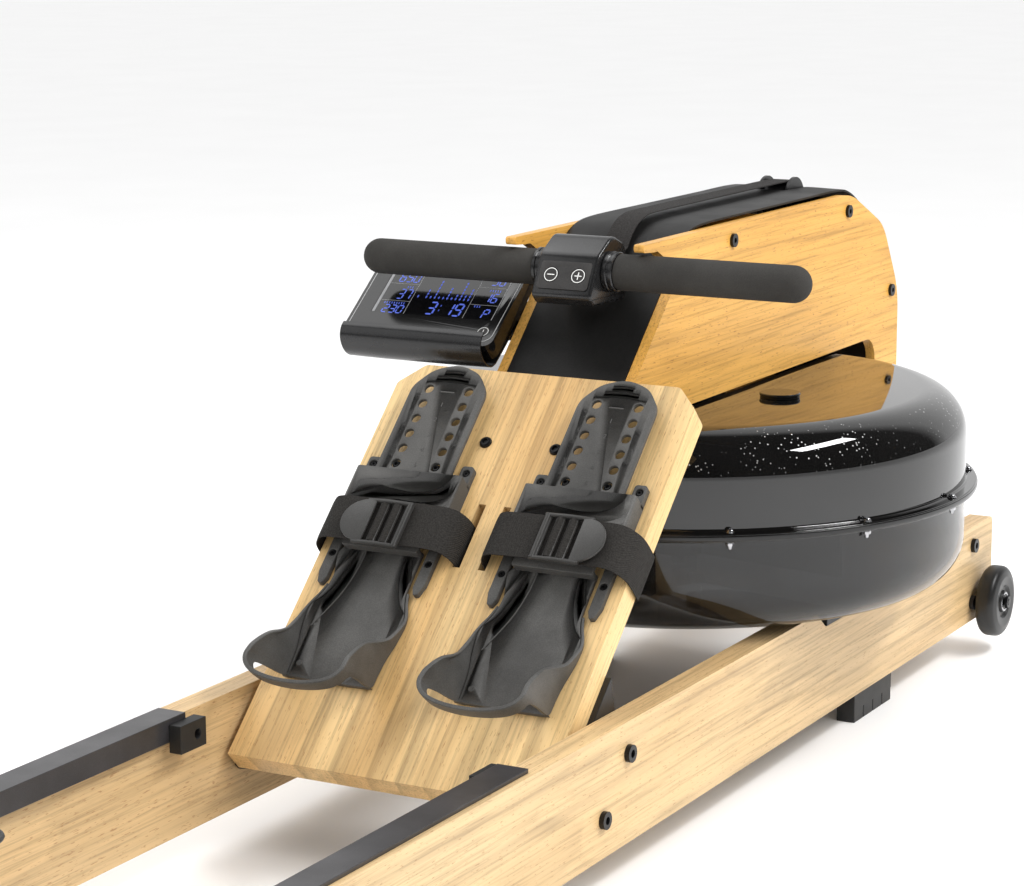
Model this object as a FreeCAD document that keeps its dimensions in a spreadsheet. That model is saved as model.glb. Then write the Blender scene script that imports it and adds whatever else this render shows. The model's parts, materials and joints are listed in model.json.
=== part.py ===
import FreeCAD, Part
import Sketcher
import math
import os
import re

os.makedirs("parts", exist_ok=True)
doc = FreeCAD.newDocument("rowing_machine")
V = FreeCAD.Vector

# ---------------------------------------------------------------- driving dimensions (mm)
# X runs along the rails towards the tank, Y to the rower's left, Z up from the floor.
DIMENSIONS = [
    ("rail_back", -1051), ("rail_front", 1049), ("rail_in", 156), ("rail_out", 180),
    ("rail_low", 38), ("rail_top", 142), ("rail_round", 7),
    ("rebate_x0", 564.4), ("rebate_x1", 587), ("rebate_x2", 815), ("rebate_x3", 837.6),
    ("rebate_z", 125),
    ("track_x0", -975), ("track_x1", 12), ("track_in", 147), ("track_edge", 174.5),
    ("track_top", 145.7), ("track_low", 125.7), ("track_web", 152.6),
    ("bolt_rad", 4), ("bolt_head_rad", 7.5), ("bolt_head_len", 4.5), ("hex_rad", 3.4),
    ("cross_low", 46), ("cross_top", 134), ("cross_x0", 977), ("cross_x1", 1001),
    ("foot_x0", 695), ("foot_x1", 793), ("foot_in", 148), ("foot_out", 167),
    ("wheel_x", 1013), ("wheel_z", 57.5), ("wheel_rad", 38), ("wheel_in", 186),
    ("wheel_out", 210), ("axle_rad", 4), ("wheel_bore", 4.06),
    ("board_x", 19), ("board_z", 38), ("board_tilt", 44.2), ("board_s0", 78),
    ("board_s1", 495), ("board_half", 150), ("board_thick", 23), ("board_cut", 22),
    ("tank_x", 643), ("tank_rad", 276.7), ("tank_wall", 4), ("tank_low", 150),
    ("tank_corner", 60), ("tank_shoulder", 80), ("tank_top", 337), ("flange_rad", 287.6),
    ("flange_mid", 245.3), ("flange_half", 4.2), ("screw_circle", 281), ("ring_rad", 200),
    ("panel_in", 60), ("panel_out", 70), ("panel_top", 499), ("leg_x0", 973),
    ("leg_x1", 1037), ("leg_low", 134), ("cover_thick", 4), ("cover_half", 59.8),
    ("roller_x", 877), ("roller_z", 492.5), ("roller_rad", 17.5), ("roller_flange", 23.5),
    ("belt_half", 12.5), ("belt_thick", 2), ("drum_rad", 32), ("drum_low", 350),
    ("drum_high", 388), ("shaft_rad", 8), ("blade_len", 185), ("blade_low", 168),
    ("blade_high", 236),
    ("bar_x", 429), ("bar_z", 472), ("bar_rad", 10), ("grip_rad", 16.5), ("grip_in", 40),
    ("grip_out", 226), ("collar_rad", 18.5), ("module_half", 30), ("key_rad", 7),
    ("screen_x", 421), ("screen_z", 423), ("screen_tilt", 37.5), ("case_y0", 73),
    ("case_y1", 235), ("case_s0", -36), ("case_s1", 80), ("case_thick", 18),
    ("lcd_y0", 85), ("lcd_y1", 215), ("lcd_s0", -4), ("lcd_s1", 68), ("pivot_s", 20),
    ("pivot_low", -33), ("pivot_rad", 7),
    ("seat_x0", -800), ("seat_x1", -582), ("seat_in", 139), ("seat_out", 144),
    ("seat_deck", 186), ("seat_skirt", 104), ("pad_x0", -812), ("pad_x1", -566),
    ("pad_half", 150), ("pad_low", 257), ("pad_top", 305), ("truck_rad", 17), ("truck_gap", 0.3), ("truck_in", 154),
    ("truck_out", 170), ("guide_rad", 9),
    ("step_y", 84.7), ("step_half", 53.7), ("step_top", 367.5), ("step_deep", 20),
    ("slide_half", 38.3), ("slide_high", 14.5), ("slide_s1", 489), ("hole_pitch", 16.5),
    ("hole_y", 20.3), ("cup_rim", 61), ("strap_s0", 289), ("strap_s1", 333),
]

sheet = doc.addObject("Spreadsheet::Sheet", "Dim")
for row, (alias, size) in enumerate(DIMENSIONS, start=1):
    sheet.set("A%d" % row, alias)
    sheet.set("B%d" % row, str(size))
    sheet.setAlias("B%d" % row, alias)
doc.recompute()
ALIASES = {alias for alias, size in DIMENSIONS}
NODES = {}


# ---------------------------------------------------------------- small modelling helpers
def ref(size):
    """Expression text in which every alias points at the sheet."""
    text = str(size)
    return re.sub(r"[a-z_][a-z_0-9]*", lambda m: "Dim." + m.group(0)
                  if m.group(0) in ALIASES else m.group(0), text)


def num(size):
    return float(sheet.evalExpression(ref(size)))


def tie(obj, **sizes):
    for prop, size in sizes.items():
        obj.setExpression(prop, ref(size))


def place(obj, x=0, y=0, z=0):
    for letter, size in (("x", x), ("y", y), ("z", z)):
        obj.setExpression("Placement.Base." + letter, ref(size))


def box(x0, x1, y0, y1, z0, z1):
    obj = doc.addObject("Part::Box", "Block")
    tie(obj, Length="(%s) - (%s)" % (x1, x0), Width="(%s) - (%s)" % (y1, y0),
        Height="(%s) - (%s)" % (z1, z0))
    place(obj, x0, y0, z0)
    return obj


def rod(axis, across, up, rad, low, high):
    """Cylinder along x, y or z; across and up are its two other coordinates in order."""
    obj = doc.addObject("Part::Cylinder", "Rod")
    tie(obj, Radius=rad, Height="(%s) - (%s)" % (high, low))
    if axis == "x":
        obj.Placement = FreeCAD.Placement(V(), FreeCAD.Rotation(V(0, 1, 0), 90))
        place(obj, low, across, up)
    elif axis == "y":
        obj.Placement = FreeCAD.Placement(V(), FreeCAD.Rotation(V(1, 0, 0), -90))
        place(obj, across, low, up)
    else:
        place(obj, across, up, low)
    return obj


def origin_plane(body, role):
    return next(f for f in body.Origin.OriginFeatures if f.Role == role)


def outline(body, role, points, shift):
    """Closed sketch whose corners are held to the sheet by distances from the origin."""
    sketch = body.newObject("Sketcher::SketchObject", "Outline")
    sketch.AttachmentSupport = [(origin_plane(body, role), "")]
    sketch.MapMode = "FlatFace"
    sketch.setExpression("AttachmentOffset.Base.z", ref(shift))
    spots = [(num(u), num(v)) for u, v in points]
    count = len(spots)
    for i in range(count):
        a, b = spots[i], spots[(i + 1) % count]
        sketch.addGeometry(Part.LineSegment(V(a[0], a[1], 0), V(b[0], b[1], 0)), False)
    for i in range(count):
        sketch.addConstraint(Sketcher.Constraint("Coincident", i, 2, (i + 1) % count, 1))
    for i in range(count):
        for kind, size, spot in (("DistanceX", points[i][0], spots[i][0]),
                                 ("DistanceY", points[i][1], spots[i][1])):
            k = sketch.addConstraint(Sketcher.Constraint(kind, -1, 1, i, 1, spot))
            if isinstance(size, str):
                sketch.setExpression("Constraints[%d]" % k, ref(size))
    return sketch


def prism(plane, points, low, high, rounds=()):
    """Straight solid from a closed outline in the xy, xz or yz plane, corners rounded."""
    role = {"xy": "XY_Plane", "xz": "XZ_Plane", "yz": "YZ_Plane"}[plane]
    body = doc.addObject("PartDesign::Body", "Body")
    shift = "-(%s)" % high if plane == "xz" else low
    sketch = outline(body, role, points, shift)
    pad = body.newObject("PartDesign::Pad", "Pad")
    pad.Profile = sketch
    pad.setExpression("Length", "(%s) - (%s)" % (ref(high), ref(low)))
    doc.recompute()
    spare = {"xy": 2, "xz": 1, "yz": 0}[plane]
    tip = pad
    for radius, corners in rounds:
        names = []
        for k, edge in enumerate(tip.Shape.Edges, start=1):
            ends = [tuple(v.Point) for v in edge.Vertexes]
            if len(ends) != 2 or abs(ends[0][spare] - ends[1][spare]) < 0.01:
                continue
            for c in corners:
                want = [num(points[c][0]), num(points[c][1])]
                flat = [[p[q] for q in range(3) if q != spare] for p in ends]
                if all(math.dist(f, want) < 0.01 for f in flat):
                    names.append("Edge%d" % k)
        fillet = body.newObject("PartDesign::Fillet", "Round")
        fillet.Base = (tip, names)
        fillet.setExpression("Radius", ref(radius))
        body.Tip = fillet
        doc.recompute()
        tip = fillet
    return body


def turned(points, x, y, rounds=()):
    """Solid of revolution about a vertical axis at x, y from an outline of (radius, z)."""
    body = doc.addObject("PartDesign::Body", "Body")
    sketch = outline(body, "XZ_Plane", points, 0)
    turn = body.newObject("PartDesign::Revolution", "Turn")
    turn.Profile = sketch
    turn.ReferenceAxis = (sketch, ["V_Axis"])
    turn.Angle = 360
    doc.recompute()
    tip = turn
    for radius, corner in rounds:
        names = []
        for k, edge in enumerate(tip.Shape.Edges, start=1):
            if not isinstance(edge.Curve, Part.Circle):
                continue
            near = abs(edge.Curve.Radius - num(corner[0])) < 0.01
            if near and abs(edge.Curve.Center.z - num(corner[1])) < 0.01:
                names.append("Edge%d" % k)
        fillet = body.newObject("PartDesign::Fillet", "Round")
        fillet.Base = (tip, names)
        fillet.setExpression("Radius", ref(radius))
        body.Tip = fillet
        doc.recompute()
        tip = fillet
    place(body, x, y, 0)
    return body


def fuse(*pieces):
    if len(pieces) == 1:
        return pieces[0]
    obj = doc.addObject("Part::MultiFuse", "Union")
    obj.Shapes = list(pieces)
    return obj


def cut(base, *tools):
    obj = doc.addObject("Part::Cut", "Cut")
    obj.Base = base
    obj.Tool = fuse(*tools)
    return obj


def node(label, obj):
    obj.Label = label
    NODES[label] = obj
    return obj


def tilt(obj, x, z, angle):
    """Stand a part built flat on the slope that rises towards +X."""
    if obj.TypeId in ("Part::Box", "Part::Cylinder"):
        flat = obj
        obj = doc.addObject("Part::Compound", "Flat")
        obj.Links = [flat]
    obj.Placement = FreeCAD.Placement(V(), FreeCAD.Rotation(V(0, -1, 0), num(angle)))
    obj.setExpression("Placement.Rotation.Angle", ref(angle))
    place(obj, x, 0, z)
    return obj


def on_board(label, obj):
    return node(label, tilt(obj, "board_x", "board_z", "board_tilt"))


def on_screen(label, obj):
    return node(label, tilt(obj, "screen_x", "screen_z", "screen_tilt"))


def side(sign, low, high):
    """The span low to high on the left, or its mirror image on the right."""
    if sign > 0:
        return str(low), str(high)
    return "-(%s)" % high, "-(%s)" % low


def slope_x(z):
    """X of the footboard's underside plane at height z."""
    return "board_x + board_thick / sin(board_tilt * 1deg) + (%s - board_z) / tan(board_tilt * 1deg)" % z


def strip(path, thick):
    """Outline of a bent sheet: the path, then its mitred offset to the right, reversed."""
    inner = []
    for i, spot in enumerate(path):
        turns = []
        if i:
            turns.append((path[i][0] - path[i - 1][0], path[i][1] - path[i - 1][1]))
        if i < len(path) - 1:
            turns.append((path[i + 1][0] - path[i][0], path[i + 1][1] - path[i][1]))
        normals = [(dz / math.hypot(dx, dz), -dx / math.hypot(dx, dz)) for dx, dz in turns]
        nx = sum(n[0] for n in normals)
        nz = sum(n[1] for n in normals)
        size = math.hypot(nx, nz)
        nx, nz = nx / size, nz / size
        run = thick / (nx * normals[0][0] + nz * normals[0][1])
        inner.append((spot[0] + nx * run, spot[1] + nz * run))
    return list(path) + inner[::-1]


SIDES = (("left", 1), ("right", -1))

# ---------------------------------------------------------------- rails, tracks and feet
BOARD_BOLTS = (("board_x + 153", "board_z + 77"), ("board_x + 108", "board_z + 33"))
END_BOLTS = (("cross_x0 + 12", 121), ("cross_x0 + 12", 58.6))
REAR_BOLTS = (("-(cross_x0 + 12)", 121), ("-(cross_x0 + 12)", 58.6))
RAIL_BOLTS = BOARD_BOLTS + END_BOLTS + REAR_BOLTS
rail_points = [
    ("rail_back", "rail_low"), ("rail_front", "rail_low"), ("rail_front", "rail_top"),
    ("rebate_x3", "rail_top"), ("rebate_x2", "rebate_z"), ("rebate_x1", "rebate_z"),
    ("rebate_x0", "rail_top"), ("rail_back", "rail_top"),
]
bolts = []
for name, sign in SIDES:
    y0, y1 = side(sign, "rail_in", "rail_out")
    rail = prism("xz", rail_points, y0, y1, [("rail_round", (0, 1, 2, 7))])
    bores = [rod("y", x, z, "bolt_rad + 0.1", y0, y1) for x, z in RAIL_BOLTS]
    node("rail_" + name, cut(rail, *bores))
    track_points = [
        ("track_in", "track_low"), ("track_web", "track_low"), ("track_web", "rail_top - 3"),
        ("rail_in", "rail_top - 3"), ("rail_in", "rail_top"), ("track_edge", "rail_top"),
        ("track_edge", "track_top"), ("track_in", "track_top"),
    ]
    signed = [("%d * %s" % (sign, u), v) for u, v in track_points]
    node("track_" + name, prism("yz", signed, "track_x0", "track_x1"))
    for x, z in RAIL_BOLTS:
        deep = "rail_in" if (x, z) in BOARD_BOLTS else "rail_in - 20"
        s0, s1 = side(sign, deep, "rail_out")
        c0, c1 = side(sign, "rail_out", "rail_out + bolt_head_len")
        h0, h1 = side(sign, "rail_out + bolt_head_len - 3", "rail_out + bolt_head_len")
        shank = rod("y", x, z, "bolt_rad", s0, s1)
        cap = rod("y", x, z, "bolt_head_rad", c0, c1)
        bolts.append(cut(fuse(shank, cap), rod("y", x, z, "hex_rad", h0, h1)))
node("rail_bolts", fuse(*bolts))

for end, x0, x1 in (("front", "cross_x0", "cross_x1"), ("rear", "-cross_x1", "-cross_x0")):
    beam = box(x0, x1, "-rail_in", "rail_in", "cross_low", "cross_top")
    bores = []
    for name, sign in SIDES:
        y0, y1 = side(sign, "rail_in - 20.2", "rail_in")
        for x, z in (END_BOLTS if end == "front" else REAR_BOLTS):
            bores.append(rod("y", x, z, "bolt_rad + 0.1", y0, y1))
    node("cross_" + end, cut(beam, *bores))

for end, x0 in (("front", "track_x1 - 24"), ("rear", "track_x0 + 2")):
    stops = []
    for name, sign in SIDES:
        y0, y1 = side(sign, "track_in - 12", "track_in")
        block = box(x0, "%s + 36" % x0, y0, y1, 117, 141)
        stops.append(cut(block, rod("y", "%s + 24" % x0, 129, 4.2, y0, y1)))
    node("track_stops_" + end, fuse(*stops))

for end, x0, x1 in (("front", "foot_x0", "foot_x1"), ("rear", "-foot_x1 - 160", "-foot_x0 - 160")):
    feet = []
    for name, sign in SIDES:
        y0, y1 = side(sign, "foot_in", "foot_out")
        for k in range(4):
            start = "%s + %d * 24.5" % (x0, k)
            feet.append(box(start, "%s + 23.5" % start, y0, y1, 0, "rail_low"))
        feet.append(box(x0, x1, y0, y1, 12, "rail_low"))
    node("feet_" + end, fuse(*feet))

# ---------------------------------------------------------------- transport wheels
axles = []
for name, sign in SIDES:
    y0, y1 = side(sign, "wheel_in", "wheel_out")
    tyre = rod("y", "wheel_x", "wheel_z", "wheel_rad", y0, y1)
    tyre_round = doc.addObject("Part::Fillet", "TyreRound")
    doc.recompute()
    tyre_round.Base = tyre
    tyre_round.Edges = [(k + 1, 5.0, 5.0) for k, e in enumerate(tyre.Shape.Edges)
                        if isinstance(e.Curve, Part.Circle)]
    dish_in = side(sign, "wheel_in", "wheel_in + 5")
    dish_out = side(sign, "wheel_out - 5", "wheel_out")
    bore = rod("y", "wheel_x", "wheel_z", "wheel_bore", y0, y1)
    dishes = [rod("y", "wheel_x", "wheel_z", 15, *dish_in), rod("y", "wheel_x", "wheel_z", 15, *dish_out)]
    wheel = cut(tyre_round, bore, *dishes)
    hub_bore = rod("y", "wheel_x", "wheel_z", "wheel_bore", y0, y1)
    hub = cut(rod("y", "wheel_x", "wheel_z", 11, *side(sign, "wheel_in + 1", "wheel_out - 1")), hub_bore)
    node("wheel_" + name, fuse(wheel, hub))
    axles.append(fuse(
        rod("y", "wheel_x", "wheel_z", "axle_rad", *side(sign, "rail_out", "wheel_out + 4")),
        rod("y", "wheel_x", "wheel_z", 11, *side(sign, "rail_out", "wheel_in - 0.6")),
        rod("y", "wheel_x", "wheel_z", 7, *side(sign, "wheel_out + 0.4", "wheel_out + 4.5")),
    ))
node("wheel_axles", fuse(*axles))

# ---------------------------------------------------------------- footboard (built flat: s, y, depth)
board_points = [
    ("board_s0", "-board_half"), ("board_s1 - board_cut", "-board_half"),
    ("board_s1", "-board_half + board_cut"), ("board_s1", "board_half - board_cut"),
    ("board_s1 - board_cut", "board_half"), ("board_s0", "board_half"),
]
board = prism("xy", board_points, "-board_thick", 0, [(8, (1, 2, 3, 4))])
board_tools = []
for name, sign in SIDES:
    board_tools.append(box(287, 353, *side(sign, 9, 16), "-board_thick - 1", 1))
    board_tools.append(rod("z", 417, "%d * 35" % sign, 3.1, "-board_thick - 1", 1))
on_board("footboard", cut(board, *board_tools))
bracket = []
for name, sign in SIDES:
    plate_points = [(80, -30), (100, -66), (190, -66), (215, -23), (80, -23)]
    plate = prism("xz", plate_points, *side(sign, "rail_in - 3.5", "rail_in - 0.5"))
    flange = box(80, 215, *side(sign, "rail_in - 36", "rail_in - 0.5"), "-board_thick - 3", "-board_thick")
    bracket.append(plate)
    bracket.append(flange)
bracket.append(box(96, 140, "-rail_in + 3", "rail_in - 3", "-board_thick - 3", "-board_thick"))
bracket.append(box(96, 99, "-rail_in + 3", "rail_in - 3", "-board_thick - 22", "-board_thick"))
bracket.append(box(137, 140, "-rail_in + 3", "rail_in - 3", "-board_thick - 22", "-board_thick"))
on_board("footboard_bracket", fuse(*bracket))
on_board("footboard_screws", fuse(
    *[rod("z", 417, "%d * 35" % sign, 3, -42, 0) for name, sign in SIDES],
    *[rod("z", 417, "%d * 35" % sign, 7, 0, 3) for name, sign in SIDES]))
block = box(376, 440, "-panel_in", "panel_in", "-board_thick - 27", "-board_thick")
on_board("board_mount", cut(block, *[rod("z", 417, "%d * 35" % sign, 3.1, -43, 0) for name, sign in SIDES]))

# ---------------------------------------------------------------- side panels and covers
panel_points = [
    (slope_x(288), 288), (slope_x(466.5), 466.5), (469, 479), (446, 490.5), (437, 490.5),
    (418, 492), (418, "panel_top"), ("leg_x1 - 138", "panel_top"), ("leg_x1 - 46", 458),
    ("leg_x1", 383), ("leg_x1", "leg_low"), ("leg_x0", "leg_low"), ("leg_x0", 340),
    (385, 340), (337, 288),
]
PANEL_SCREWS = ((607, 483), (891, 482), (1015, 385))
screws = []
spacers = []
for name, sign in SIDES:
    panel = prism("xz", panel_points, *side(sign, "panel_in", "panel_out"),
                  [(100, (7,)), (60, (8,)), (80, (9,)), (24, (12,)), (3, (5, 6)), (6, (1,))])
    bores = [rod("y", x, z, 3.1, *side(sign, "panel_in", "panel_out")) for x, z in PANEL_SCREWS]
    node("panel_" + name, cut(panel, *bores))
    for x, z in PANEL_SCREWS:
        cap = rod("y", x, z, 6.5, *side(sign, "panel_out", "panel_out + 3"))
        shank = rod("y", x, z, 3, *side(sign, "panel_in", "panel_out"))
        socket = rod("y", x, z, 2.6, *side(sign, "panel_out + 1", "panel_out + 3"))
        screws.append(cut(fuse(cap, shank), socket))
        inner = "roller_flange + 1" if x == 891 else 0
        spacers.append(rod("y", x, z, 8, *side(sign, inner, "panel_in")))
node("panel_screws", fuse(*screws))
spacers.append(rod("y", "roller_x", "roller_z", "axle_rad", "-panel_in", "panel_in"))
spacers.append(box(979, 1031, "-panel_in", "panel_in", "leg_low", 170))
node("panel_spacers", fuse(*spacers))

cover_path = [
    (num(slope_x(352)), 352), (num(slope_x(466.5)), 466.5), (504, 480), (518, 493),
    (544, 501), (569, 503), (899, 503), (949, 483), (986, 457), (1026, 400), (1033, 368), (1033, 300),
]
cover = prism("xz", strip(cover_path, num("cover_thick")), "-cover_half", "cover_half")
slot = box("roller_x - 30", "roller_x + 30", -20, 20, 490, 510)
spacer_gap = [rod("y", x, z, 8.3, "-panel_in", "panel_in") for x, z in PANEL_SCREWS]
node("cover", cut(cover, slot, *spacer_gap))

# ---------------------------------------------------------------- belt, guide roller, drum
belt_path = [(501, 484.5), (514, 500), (536, 509.5), (560, 512.3), ("roller", 512.3)]
belt_spots = [(num("roller_x") if u == "roller" else u, v) for u, v in belt_path]
node("belt_run", prism("xz", strip(belt_spots, num("belt_thick")), "-belt_half", "belt_half"))
free_spots = [(467.5, 474), (501, 484.5)]
node("belt_free", prism("xz", strip(free_spots, num("belt_thick")), "-belt_half", "belt_half"))
roller = fuse(
    rod("y", "roller_x", "roller_z", "roller_rad", -14, 14),
    rod("y", "roller_x", "roller_z", "roller_flange", -17, -14),
    rod("y", "roller_x", "roller_z", "roller_flange", 14, 17))
node("guide_roller", cut(roller, rod("y", "roller_x", "roller_z", "axle_rad + 0.06", -18, 18)))
drum = fuse(
    rod("z", "tank_x", 0, "drum_rad", "drum_low", "drum_high"),
    rod("z", "tank_x", 0, "drum_rad + 14", "drum_low", "drum_low + 3"),
    rod("z", "tank_x", 0, "drum_rad + 14", "drum_high - 3", "drum_high"))
node("belt_drum", cut(drum, rod("z", "tank_x", 0, "shaft_rad + 0.06", "drum_low", "drum_high")))

# ---------------------------------------------------------------- water tank
lower_points = [
    (0, "tank_low"), ("tank_rad", "tank_low"), ("tank_rad", "flange_mid - flange_half"),
    ("flange_rad", "flange_mid - flange_half"), ("flange_rad", "flange_mid"),
    ("tank_rad - tank_wall", "flange_mid"), ("tank_rad - tank_wall", "tank_low + tank_wall"),
    (0, "tank_low + tank_wall"),
]
upper_points = [
    (0, "tank_top"), ("tank_rad", "tank_top"), ("tank_rad", "flange_mid + flange_half"),
    ("flange_rad", "flange_mid + flange_half"), ("flange_rad", "flange_mid"),
    ("tank_rad - tank_wall", "flange_mid"), ("tank_rad - tank_wall", "tank_top - tank_wall"),
    (0, "tank_top - tank_wall"),
]
lower_bowl = turned(lower_points, "tank_x", 0, [
    ("tank_corner", lower_points[1]), ("tank_corner - tank_wall", lower_points[6])])
upper_bowl = turned(upper_points, "tank_x", 0, [
    ("tank_shoulder", upper_points[1]), ("tank_shoulder - tank_wall", upper_points[6])])
screw_holes = []
upper_holes = []
tank_screws = []
for k in range(13):
    turn = "(%d * 360 / 13 - 145.4) * 1deg" % k
    x = "tank_x + screw_circle * cos(%s)" % turn
    y = "screw_circle * sin(%s)" % turn
    low, high = "flange_mid - flange_half", "flange_mid + flange_half"
    screw_holes.append(rod("z", x, y, 2.1, low, high))
    upper_holes.append(rod("z", x, y, 2.1, low, high))
    tank_screws.append(rod("z", x, y, 2, "flange_mid - flange_half - 3", high))
    tank_screws.append(rod("z", x, y, 4, high, "flange_mid + flange_half + 2.4"))
    tank_screws.append(rod("z", x, y, 3.6, "flange_mid - flange_half - 3.2", low))
node("tank_lower_bowl", cut(lower_bowl, *screw_holes))
plug_x, plug_y = "tank_x - 37", -121
node("tank_upper_bowl", cut(
    upper_bowl, *upper_holes, rod("z", "tank_x", 0, "shaft_rad + 0.4", 320, 340),
    rod("z", plug_x, plug_y, 15.3, 320, 340)))
node("tank_screws", fuse(*tank_screws))
plug = fuse(rod("z", plug_x, plug_y, 15, "tank_top - tank_wall", "tank_top"),
            rod("z", plug_x, plug_y, 19.5, "tank_top", "tank_top + 5"))
node("tank_plug", plug)
ring = rod("z", "tank_x", 0, "ring_rad", "rail_top", "tank_low")
node("tank_base_ring", cut(ring, rod("z", "tank_x", 0, "ring_rad - 26", "rail_top", "tank_low")))
cradle = box("rebate_x1 + 3", "rebate_x2 - 3", "-rail_out", "rail_out", "rebate_z", "rail_top")
node("tank_cradle", cut(cradle, rod("z", "tank_x + 20", 0, 80, "rebate_z", "rail_top")))
blades = [rod("z", "tank_x", 0, "shaft_rad", "tank_low + tank_wall + 3", "drum_high + 12"),
          rod("z", "tank_x", 0, 26, "blade_low", "blade_high")]
for k in range(3):
    blade = box(0, "blade_len", -2.5, 2.5, "blade_low", "blade_high")
    blade.Placement = FreeCAD.Placement(V(), FreeCAD.Rotation(V(0, 0, 1), 60 * k * 2 + 20))
    place(blade, "tank_x", 0, "blade_low")
    blades.append(blade)
node("impeller", fuse(*blades))

# ---------------------------------------------------------------- handle
node("handle_bar", rod("y", "bar_x", "bar_z", "bar_rad", "-grip_out + 6", "grip_out - 6"))
collars = []
for name, sign in SIDES:
    y0, y1 = side(sign, "grip_in", "grip_out")
    foam = rod("y", "bar_x", "bar_z", "grip_rad", y0, y1)
    doc.recompute()
    foam_round = doc.addObject("Part::Fillet", "FoamRound")
    foam_round.Base = foam
    foam_round.Edges = [(k + 1, 12.0, 12.0) for k, e in enumerate(foam.Shape.Edges)
                        if isinstance(e.Curve, Part.Circle)
                        and abs(abs(e.CenterOfMass.y) - num("grip_out")) < 0.1]
    core = rod("y", "bar_x", "bar_z", "bar_rad", *side(sign, "grip_in", "grip_out - 6"))
    node("grip_" + name, cut(foam_round, core))
    ring_out = rod("y", "bar_x", "bar_z", "collar_rad", *side(sign, "module_half", "grip_in"))
    ring_in = rod("y", "bar_x", "bar_z", "bar_rad", *side(sign, "module_half", "grip_in"))
    collars.append(cut(ring_out, ring_in))
node("collars", fuse(*collars))
module_points = [(390, 453), (410, 487), (439, 505), (462, 493), (469, 468), (459, 443), (399, 443)]
module = prism("xz", module_points, "-module_half", "module_half", [(4, (0, 1, 2, 3, 4, 5))])
key_tilt = FreeCAD.Rotation(V(0, -1, 0), 59.5)


def key_disc(y, low, high, rad):
    """Disc square to the module's front face, low to high measured outwards from it."""
    disc = doc.addObject("Part::Cylinder", "Disc")
    tie(disc, Radius=rad, Height=high - low)
    disc.Placement = FreeCAD.Placement(V(400 - 0.862 * low, y, 470 + 0.507 * low), key_tilt)
    return disc


KEYS = (("minus", 13.5), ("plus", -14))
pockets = [key_disc(y, -3.4, 2, num("key_rad") + 0.3) for name, y in KEYS]
bar_bore = rod("y", "bar_x", "bar_z", "bar_rad", "-module_half", "module_half")
node("handle_module", cut(module, bar_bore, *pockets))
for name, y in KEYS:
    node("key_" + name, key_disc(y, -2, 0.6, "key_rad"))

# ---------------------------------------------------------------- monitor (built flat: s, y, depth)
case = prism("xy", [("case_s0", "case_y0"), ("case_s1", "case_y0"), ("case_s1", "case_y1"),
                    ("case_s0", "case_y1")], "-case_thick", 0, [(9, (0, 1, 2, 3))])
glass_bed = box("lcd_s0", "lcd_s1", "lcd_y0", "lcd_y1", -2, 1)
power_bed = rod("z", -18.5, 87.6, 6.3, -4.4, 1)
on_screen("monitor_case", cut(case, glass_bed, power_bed))
on_screen("monitor_screen", box("lcd_s0", "lcd_s1", "lcd_y0", "lcd_y1", -2, -0.2))
on_screen("power_button", rod("z", -18.5, 87.6, 6, -3.2, 0.3))
trough_path = [(-33, 13), (-44, 7), (-48, -8), (-42, -21), (-34, -24.5), (46, -24.5)]
trough = prism("xz", [(u, v) for u, v in strip(trough_path, -2.5)], "case_y0 + 3", 226,
               [(6, (1, 2)), (4, (3,))])
boss = rod("y", "pivot_s", "pivot_low", 12, "case_y0 + 3", 118)
slots = [box(-60, -43, y, y + 26, -6, -2) for y in (84, 186)]
boss_bore = rod("y", "pivot_s", "pivot_low", "pivot_rad + 0.06", 70, 120)
on_screen("monitor_cradle", cut(fuse(trough, boss), boss_bore, *slots))
on_screen("monitor_pivot", rod("y", "pivot_s", "pivot_low", "pivot_rad", "panel_out", 116))

# ---------------------------------------------------------------- sliding seat
TRUCKS = (("front", "seat_x1 - 34"), ("rear", "seat_x0 + 34"))
seat = [box("seat_x0", "seat_x1", "-seat_out", "seat_out", "seat_deck", "seat_deck + 4"),
        box("seat_x0 + 10", "seat_x1 - 10", -112, 112, "pad_low - 4", "pad_low")]
for x in ("seat_x0 + 24", "seat_x1 - 28"):
    seat.append(box(x, "%s + 4" % x, -100, 100, "seat_deck + 2", "pad_low - 2"))
shafts = []
for name, sign in SIDES:
    y0, y1 = side(sign, "seat_in", "seat_out")
    seat.append(box("seat_x0", "seat_x1", y0, y1, "seat_skirt", "seat_deck + 1"))
    for end, x in TRUCKS:
        z = "track_top + truck_gap + truck_rad"
        y2, y3 = side(sign, "truck_in", "truck_out")
        wheel = rod("y", x, z, "truck_rad", y2, y3)
        bore = rod("y", x, z, "axle_rad + 0.06", y2, y3)
        node("seat_roller_%s_%s" % (end, name), cut(wheel, bore))
        shafts.append(rod("y", x, z, "axle_rad", *side(sign, "seat_out", "truck_out + 5")))
        shafts.append(rod("y", x, z, 8, *side(sign, "truck_out + 0.5", "truck_out + 5")))
        shafts.append(rod("y", x, z, 8, *side(sign, "seat_out", "truck_in - 0.5")))
        low = "track_low - 0.4 - guide_rad"
        shafts.append(rod("y", x, low, "guide_rad", *side(sign, "seat_out", "rail_in - 1")))
node("seat_carriage", fuse(*seat))
node("seat_axles", fuse(*shafts))
pad = prism("xy", [("pad_x0", "-pad_half"), ("pad_x1", "-pad_half"), ("pad_x1", "pad_half"),
                   ("pad_x0", "pad_half")], "pad_low + 0.5", "pad_top", [(26, (0, 1, 2, 3))])
node("seat_pad", pad)

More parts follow.
